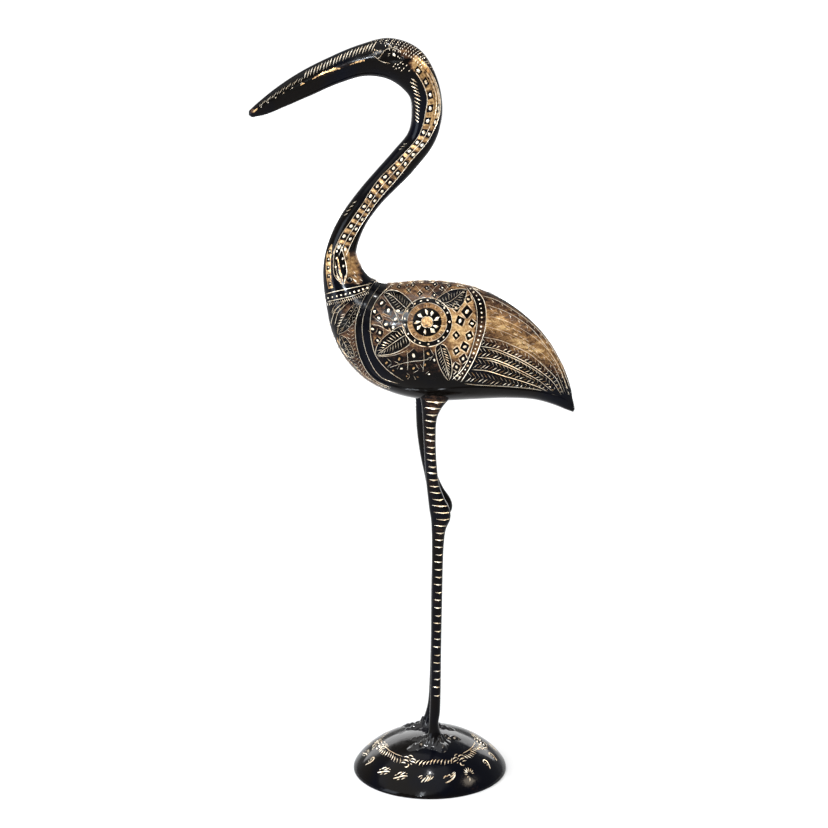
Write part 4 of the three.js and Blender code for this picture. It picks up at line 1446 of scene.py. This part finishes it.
def base_cuts(engraving):
    """A ring of ornaments near the rim, and flowers joined by garlands above it."""
    for number, strokes in enumerate(LOWER_RING):
        degrees = 266 + number * 360 / len(LOWER_RING)
        ornament(engraving, strokes, LOWER_RING_DISTANCE, degrees + 2 * math.sin(number * 2.6), 1.12)
    gap = 360 / FLOWERS
    for flower in range(FLOWERS):
        heading = 245 + flower * gap
        sideways = abs(math.cos(math.radians(heading)))
        ring = UPPER_RING_DISTANCE + 2.5 * sideways
        ornament(engraving, FLOWER, ring + 0.6, heading, 1.22, 1 if flower % 2 else -1)
        if sideways > 0.9:
            ornament(engraving, TWIG, ring - 3, heading + 10, 1.0)
            ornament(engraving, TWIG, ring + 3, heading - 11, 1.0, -1)
        turns = heading + np.linspace(10, gap - 10, 11)
        way = -1 if flower % 2 else 1
        for number, degrees in enumerate(turns):
            here = around_dome(ring + 0.8 * math.sin(number * 0.9), degrees)
            along, inward = ring_axes(degrees, way)
            reach = 2.7 + 0.5 * math.sin(number * 1.9)
            foot = here - inward * reach - along * 1.1
            engraving.cut([foot, here + inward * 0.3, here + inward * reach + along * 1.7], width=0.8)
        if flower % 2:
            stem = np.stack([around_dome(ring - 3.6, d) for d in turns])
            engraving.cut(resample(stem, 3), width=0.45)


BASE_SIDES = 160
BASE_GRID = 2.2
RIM_BEVEL = 0.3
CROWN_RISE = 0.1  # of the middle point of the hollow over the last ring of its profile


def make_base():
    """The engraved outside of the dome, its rim and the profile of what lies under it."""
    engraving = Engraving()
    edge = PROFILE_LENGTH[-1]
    turns = np.linspace(0, 2 * math.pi, BASE_SIDES, endpoint=False)
    row = engraving.add(np.stack([np.cos(turns), np.sin(turns)], 1) * edge)
    engraving.edges.extend(zip(row, row[1:] + row[:1]))
    base_cuts(engraving)

    def within(limit):
        return lambda chart: np.hypot(chart[:, 0], chart[:, 1]) < limit

    engraving.fill((-edge, -edge), (edge, edge), BASE_GRID, within(edge - 0.8))
    flat_side = edge * math.cos(math.pi / BASE_SIDES)
    chart, depth, tris, kinds = engraving.triangles(within(flat_side + 0.01))
    points = dome_surface(chart)
    step = 0.05
    normals = np.cross(dome_surface(chart + [step, 0]) - points, dome_surface(chart + [0, step]) - points)
    at_rim = np.hypot(chart[:, 0], chart[:, 1]) > edge - 0.1
    inward = np.cross(
        points - dome_surface(chart * (1 - step / edge)),
        np.stack([-chart[:, 1], chart[:, 0], 0 * chart[:, 0]], 1),
    )
    normals = np.where(at_rim[:, None], -inward, normals)
    normals = unit(normals * np.sign(normals[:, 2:3] + 1e-12))
    points = points - normals * depth[:, None]

    inner = BASE_RADIUS - WALL
    radii = inner * np.cos(np.linspace(0.3, 1.5, 8))
    hollow = [(r, dome_height(r * BASE_RADIUS / inner) - WALL) for r in radii]
    profile = [(BASE_RADIUS, RIM_BEVEL), (BASE_RADIUS - RIM_BEVEL, 0), (inner, 0), *hollow]
    ring = np.where(np.hypot(chart[:, 0], chart[:, 1]) > edge - 1e-3)[0]
    ring = ring[np.argsort(np.arctan2(chart[ring, 1], chart[ring, 0]) % (2 * math.pi))]
    return points, normals, tris, kinds, ring, profile


def lathe_under(points, normals, tris, kinds, ring, profile):
    """Closes the dome below with a profile turned about its axis."""
    count = len(ring)
    centre = np.array([BASE_X, 0, 0])
    out = unit((points[ring] - centre) * [1, 1, 0])
    rows = [points[ring]] + [centre + out * r + [0, 0, z] for r, z in profile]
    start = len(points)
    ids = [ring] + [start + count * k + np.arange(count) for k in range(len(profile))]
    faces = []
    for upper, lower in zip(ids, ids[1:]):
        a, b = upper, np.roll(upper, -1)
        c, d = np.roll(lower, -1), lower
        faces.append(np.stack([a, d, c], 1))
        faces.append(np.stack([a, c, b], 1))
    last = ids[-1]
    middle = start + count * len(profile)
    faces.append(np.stack([last, np.full(count, middle), np.roll(last, -1)], 1))
    crown = np.array([[BASE_X, 0, rows[-1][0, 2] + CROWN_RISE]])
    extra = np.vstack(rows[1:] + [crown])
    new = np.vstack(faces)
    everything = np.vstack([points, extra])
    face_normal = np.cross(
        everything[new[:, 1]] - everything[new[:, 0]], everything[new[:, 2]] - everything[new[:, 0]]
    )
    extra_normals = np.zeros_like(everything)
    for k in range(3):
        np.add.at(extra_normals, new[:, k], face_normal)
    normals = np.vstack([normals, extra_normals[start:]])
    return everything, normals, np.vstack([tris, new]), np.concatenate([kinds, np.zeros(len(new), int)])


# Feet: toes as soft ridges on the dome

# Degrees away from straight ahead, outward, then length and thickness at the ankle
TOES = [(-12, 21, 3.8), (24, 26, 4.2), (112, 17, 4.8), (-161, 24, 3.6)]
ANKLE_RADIUS = 5.5
ANKLE_HEIGHT = 5.5
ANKLE_FALL = 3.6
FOOT_GRID = 0.9
FOOT_SINK = 0.7
FOOT_THICKNESS = 0.8
LOWEST_RIDGE = 0.2


def foot_ridge(side, x, y):
    """Height of a foot above the dome, from its toes and the skirt of its ankle."""
    foot = LEG_ROWS[-1]
    ankle = np.array([foot[1] + (foot[4] if side > 0 else 0), side * FOOT_HALF_GAP])
    away = np.hypot(x - ankle[0], y - ankle[1])
    ridge = ANKLE_HEIGHT * np.exp(-np.maximum(away - ANKLE_RADIUS, 0) / ANKLE_FALL)
    for turn, length, thick in TOES:
        heading = math.radians(180 - side * turn)
        along = (x - ankle[0]) * math.cos(heading) + (y - ankle[1]) * math.sin(heading)
        bend = 1.2 * np.sin(along / length * 2.6)
        across = (y - ankle[1]) * math.cos(heading) - (x - ankle[0]) * math.sin(heading) - bend
        share = along / length
        knuckles = 1 + 0.08 * np.sin(share * 13 + turn)
        wide = thick * (1.2 - 0.5 * np.clip(share, 0, 1)) * knuckles
        tall = thick * 1.15 * (1 - 0.5 * np.clip(share, 0, 1)) * knuckles
        ends = ease((1.06 - share) / 0.22) * ease((along + 3) / 4)
        toe = tall * ends * np.exp(-((across / wide) ** 2) * 1.15)
        ridge = np.maximum(ridge, toe) + 0.35 * np.minimum(ridge, toe)
    lumps = np.sin(0.8 * x + 0.3 * y + side) * np.sin(0.9 * y - 0.4 * x)
    return ridge * (1 + 0.2 * lumps)


def make_feet():
    """Both feet as one closed sheet that lies on the dome."""
    xs = np.arange(-20, 50, FOOT_GRID)
    ys = np.arange(-38, 38.5, FOOT_GRID)
    x, y = np.meshgrid(xs, ys, indexing="ij")

    def top(x, y):
        ridge = np.maximum(foot_ridge(-1, x, y), foot_ridge(1, x, y))
        return dome_height(np.hypot(x - BASE_X, y)) + ridge - FOOT_SINK, ridge

    z, ridge = top(x, y)
    step = 0.2
    slope_x = (top(x + step, y)[0] - top(x - step, y)[0]) / (2 * step)
    slope_y = (top(x, y + step)[0] - top(x, y - step)[0]) / (2 * step)
    upper_normals = np.stack([-slope_x, -slope_y, np.ones_like(x)], -1)
    used = ridge > LOWEST_RIDGE
    cells = used[:-1, :-1] & used[1:, :-1] & used[1:, 1:] & used[:-1, 1:]
    ids = np.arange(x.size).reshape(x.shape)
    a, b, c, d = (part[cells] for part in (ids[:-1, :-1], ids[1:, :-1], ids[1:, 1:], ids[:-1, 1:]))
    upper = np.vstack([np.stack([a, b, c], 1), np.stack([a, c, d], 1)])
    under = np.minimum(z, dome_height(np.hypot(x - BASE_X, y))) - FOOT_THICKNESS
    lower = upper[:, ::-1] + x.size
    sides = np.vstack([upper[:, [0, 1]], upper[:, [1, 2]], upper[:, [2, 0]]])
    sides = dict.fromkeys(map(tuple, sides.tolist()))
    walls = []
    for p, q in sides:
        if (q, p) not in sides:
            walls += [(q, p, p + x.size), (q, p + x.size, q + x.size)]
    points = np.vstack([
        np.stack([x.ravel(), y.ravel(), z.ravel()], 1),
        np.stack([x.ravel(), y.ravel(), under.ravel()], 1),
    ])
    normals = np.vstack([unit(upper_normals.reshape(-1, 3)), np.tile([0, 0, -1.0], (x.size, 1))])
    tris = np.vstack([upper, lower, np.array(walls)])
    used_ids, tris = np.unique(tris, return_inverse=True)
    tris = tris.reshape(-1, 3)
    points, normals = points[used_ids], normals[used_ids]
    return points, normals, tris, np.full(len(tris), WET), {"wear": np.zeros(len(points))}


# Materials: lacquer with its wear and painted light, the brass of the cuts, whole lacquer and rubbed brass

BRASS_ROUGHNESS = 0.34
BRASS_METALLIC = 0.6


class Shader:
    """A material on one Principled surface, and short ways to add its nodes."""

    def __init__(self, name):
        self.material = bpy.data.materials.new(name)
        self.material.use_nodes = True
        self.tree = self.material.node_tree
        self.surface = self.tree.nodes["Principled BSDF"]

    def node(self, kind, **values):
        made = self.tree.nodes.new(kind)
        for label, value in values.items():
            if label in made.inputs:
                made.inputs[label].default_value = value
            else:
                setattr(made, label, value)
        return made

    def link(self, source, target):
        self.tree.links.new(source, target)

    def noise(self, scale, detail=3.0, stretch=None, turn=(0, 0, 0)):
        place = self.node("ShaderNodeTexCoord").outputs["Object"]
        if stretch:
            mapping = self.node("ShaderNodeMapping", Scale=stretch, Rotation=turn)
            self.link(place, mapping.inputs["Vector"])
            place = mapping.outputs["Vector"]
        noise = self.node("ShaderNodeTexNoise", Scale=scale, Detail=detail)
        self.link(place, noise.inputs["Vector"])
        return noise.outputs["Fac"]

    def maths(self, operation, a, b):
        made = self.node("ShaderNodeMath", operation=operation)
        for value, target in ((a, made.inputs[0]), (b, made.inputs[1])):
            if isinstance(value, (int, float)):
                target.default_value = value
            else:
                self.link(value, target)
        return made.outputs[0]

    def ramp(self, source, stops, target=None):
        made = self.node("ShaderNodeValToRGB")
        points = made.color_ramp.elements
        while len(points) < len(stops):
            points.new(0.5)
        for point, (place, colour) in zip(points, stops):
            point.position = place
            point.color = (*colour, 1) if isinstance(colour, tuple) else (colour, colour, colour, 1)
        self.link(source, made.inputs["Fac"])
        if target:
            self.link(made.outputs["Color"], self.surface.inputs[target])
        return made.outputs["Color"]

    def mix(self, share, first, second, target):
        made = self.node("ShaderNodeMixRGB")
        for source, socket in zip((share, first, second), made.inputs):
            self.link(source, socket)
        self.link(made.outputs["Color"], self.surface.inputs[target])

    def bump(self, source, distance):
        made = self.node("ShaderNodeBump", Distance=distance, Strength=1.0)
        self.link(source, made.inputs["Height"])
        self.link(made.outputs["Normal"], self.surface.inputs["Normal"])

    def set(self, **values):
        for label, value in values.items():
            self.surface.inputs[label.replace("_", " ")].default_value = value


def lacquer_surface(shader, wear_and_light_level=0.0, gloss=0.08):
    """Black lacquer, warm in places and bluish in others; returns its colour."""
    cloud, speckle = shader.noise(130, 4), shader.noise(700, 5)
    rough = shader.ramp(cloud, [(0.3, 0.08), (0.7, 0.19)])
    rough = shader.maths("MAXIMUM", rough, shader.maths("MULTIPLY", wear_and_light_level, 0.75))
    shader.link(rough, shader.surface.inputs["Roughness"])
    dents = shader.maths("ADD", shader.noise(70, 2), shader.maths("MULTIPLY", speckle, 0.04))
    shader.bump(dents, 0.0003)
    shader.set(Specular_IOR_Level=gloss)
    warm, bluish = (0.0026, 0.0018, 0.0013), (0.0009, 0.0014, 0.0044)
    return shader.ramp(shader.noise(22, 3), [(0.42, warm), (0.58, bluish)])


def lacquer_material():
    """Black lacquer, rubbed through to brown and then to brass where the field is high; the field carries
    wear and painted light and shade.
    """
    shader = Shader("black_lacquer")
    wear_and_light_level = shader.node("ShaderNodeAttribute", attribute_name="wear").outputs["Fac"]
    speckle = shader.noise(700, 5)
    streak = shader.noise(160, 4, (0.7, 1, 2.6), (0, math.radians(-32), 0))
    speckle = shader.maths("MULTIPLY", speckle, 0.4)
    mixed = shader.maths("ADD", speckle, shader.maths("MULTIPLY", streak, 0.6))
    patches = shader.maths("MULTIPLY", shader.maths("SUBTRACT", shader.noise(75, 3), 0.5), 0.8)
    level = shader.maths("ADD", wear_and_light_level, shader.maths("MULTIPLY", shader.maths("SUBTRACT", mixed, 0.5), 1.7))
    level = shader.maths("ADD", level, patches)
    bare_and_lit = shader.maths("MULTIPLY", level, shader.maths("MINIMUM", shader.maths("MULTIPLY", wear_and_light_level, 3), 1.0))
    rubbed_and_lit = shader.ramp(bare_and_lit, [
        (0.18, (0.016, 0.008, 0.006)), (0.45, (0.09, 0.045, 0.024)),
        (0.72, (0.31, 0.168, 0.066)), (1.0, (0.72, 0.5, 0.24)),
    ])
    through = shader.ramp(bare_and_lit, [(0.08, 0.0), (0.26, 1.0)])
    shader.ramp(bare_and_lit, [(0.3, 0.0), (0.9, 0.3)], "Metallic")
    shader.mix(through, lacquer_surface(shader, bare_and_lit), rubbed_and_lit, "Base Color")
    return shader.material


def black_material(name, gloss):
    """Lacquer that nothing has rubbed."""
    shader = Shader(name)
    shader.link(lacquer_surface(shader, gloss=gloss), shader.surface.inputs["Base Color"])
    return shader.material


def brass_material(name, light, middle, dark):
    """Brass mottled between three tones."""
    shader = Shader(name)
    fine = shader.maths("MULTIPLY", shader.noise(520, 5), 0.6)
    tone = shader.maths("ADD", fine, shader.maths("MULTIPLY", shader.noise(60, 3), 0.4))
    shader.ramp(tone, [(0.38, dark), (0.5, middle), (0.63, light)], "Base Color")
    stops = [(0.3, BRASS_ROUGHNESS - 0.08), (0.7, BRASS_ROUGHNESS + 0.1)]
    shader.ramp(shader.noise(1300, 2), stops, "Roughness")
    shader.bump(shader.noise(2200, 2), 0.00003)
    shader.set(Metallic=BRASS_METALLIC)
    return shader.material


# In the order of the kinds of face
MATERIALS = [
    lacquer_material(),
    brass_material("cut_brass", (1.0, 0.94, 0.82), (0.93, 0.8, 0.6), (0.55, 0.39, 0.23)),
    black_material("whole_lacquer", 0.08),
    brass_material("bare_brass", (0.78, 0.52, 0.24), (0.4, 0.225, 0.085), (0.05, 0.026, 0.013)),
    black_material("wet_lacquer", 0.24),
]


def joined(parts):
    """Several closed shells as one piece."""
    points, normals, tris, kinds, fields = zip(*parts)
    starts = np.cumsum([0] + [len(part) for part in points])
    tris = np.vstack([part + start for part, start in zip(tris, starts)])
    wear = np.concatenate([part["wear"] for part in fields])
    return np.vstack(points), np.vstack(normals), tris, np.concatenate(kinds), {"wear": wear}


def keep(piece, node):
    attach(piece, "root")
    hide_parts(node)


# A painted reflection of a warm light on the dome's right flank near the rim, as x and y, laid into the same
# field as the wear
DOME_SHEEN = (45, -51)
DOME_SHEEN_SIZE = (15, 6)
DOME_SHEEN_LEVEL = 0.19

shells = [make_bird(), make_leg(-1), make_leg(1), make_feet()]
keep(make_mesh("crane_engraved", *joined(shells), MATERIALS), "crane")
dome = lathe_under(*make_base())
# painted reflection on the dome's flank, carried by the wear field
rubbed_and_lit = DOME_SHEEN_LEVEL * spot(dome[0][:, 0], dome[0][:, 1], DOME_SHEEN, DOME_SHEEN_SIZE)
keep(make_mesh("base_engraved", *dome, {"wear": rubbed_and_lit}, MATERIALS), "base")


# Floor, light and camera, in metres

def add(name, data):
    thing = bpy.data.objects.new(name, data)
    bpy.context.scene.collection.objects.link(thing)
    return thing


FLOOR_HALF = 30
corners = [(x * FLOOR_HALF, y * FLOOR_HALF, 0) for x, y in ((-1, -1), (1, -1), (1, 1), (-1, 1))]
plane = bpy.data.meshes.new("floor")
plane.from_pydata(corners, [], [(0, 1, 2, 3)])
pale = Shader("pale_floor")
pale.set(Base_Color=(0.93, 0.93, 0.93, 1), Roughness=0.9, Specular_IOR_Level=0.1)
plane.materials.append(pale.material)
add("floor", plane)

LAMPS_AIM = Vector((0, 0, 0.32))
# Each lamp: its place, size, power and colour, and whether it lights matt surfaces too
LIGHTS = [
    ("glint", (-0.5, -1.9, 0.88), (0.08, 0.08), 15, (0.85, 0.92, 1.0), False),
    ("key", (-0.42, -1.9, 1.55), (0.2, 0.7), 19, (0.88, 0.94, 1.0), False),
    ("left", (-2.0, -1.1, 0.6), (0.9, 1.3), 32, (0.75, 0.85, 1.0), True),
    ("right", (1.4, -0.25, 1.45), (0.5, 0.4), 14, (1.0, 0.86, 0.68), False),
    ("above", (0.02, -0.25, 1.75), (0.07, 0.07), 10, (1.0, 1.0, 1.0), False),
    ("low", (0.0, 0.55, 0.29), (1.0, 0.26), 5, (1.0, 1.0, 1.0), False),
]
for name, place, size, power, colour, matt in LIGHTS:
    lamp = bpy.data.lights.new(name, "AREA")
    lamp.shape = "RECTANGLE"
    lamp.size, lamp.size_y = size
    lamp.energy = power
    lamp.color = colour
    thing = add(name, lamp)
    thing.location = place
    thing.rotation_euler = (LAMPS_AIM - thing.location).to_track_quat("-Z", "Y").to_euler()
    thing.visible_diffuse = matt
    thing.visible_camera = False

sun = bpy.data.lights.new("sky", "SUN")
sun.energy = 2.45
sun.angle = math.radians(80)
thing = add("sky", sun)
thing.rotation_euler = Vector((0.35, 0.25, -1)).to_track_quat("-Z", "Y").to_euler()

world = bpy.data.worlds.new("studio")
bpy.context.scene.world = world
world.use_nodes = True
background = world.node_tree.nodes["Background"]
background.inputs["Color"].default_value = (1, 1, 1, 1)
background.inputs["Strength"].default_value = 0.5

LENS = 101.786
SENSOR_WIDTH = 36
CAMERA_PLACE = (0, -1.815476, 0.8235)
LOOKS_DOWN = 15.8315  # degrees
camera = add("camera", bpy.data.cameras.new("camera"))
camera.data.lens = LENS
camera.data.sensor_width = SENSOR_WIDTH
camera.location = CAMERA_PLACE
camera.rotation_euler = (math.radians(90 - LOOKS_DOWN), 0, 0)
bpy.context.scene.camera = camera
bpy.context.scene.view_settings.view_transform = "Standard"
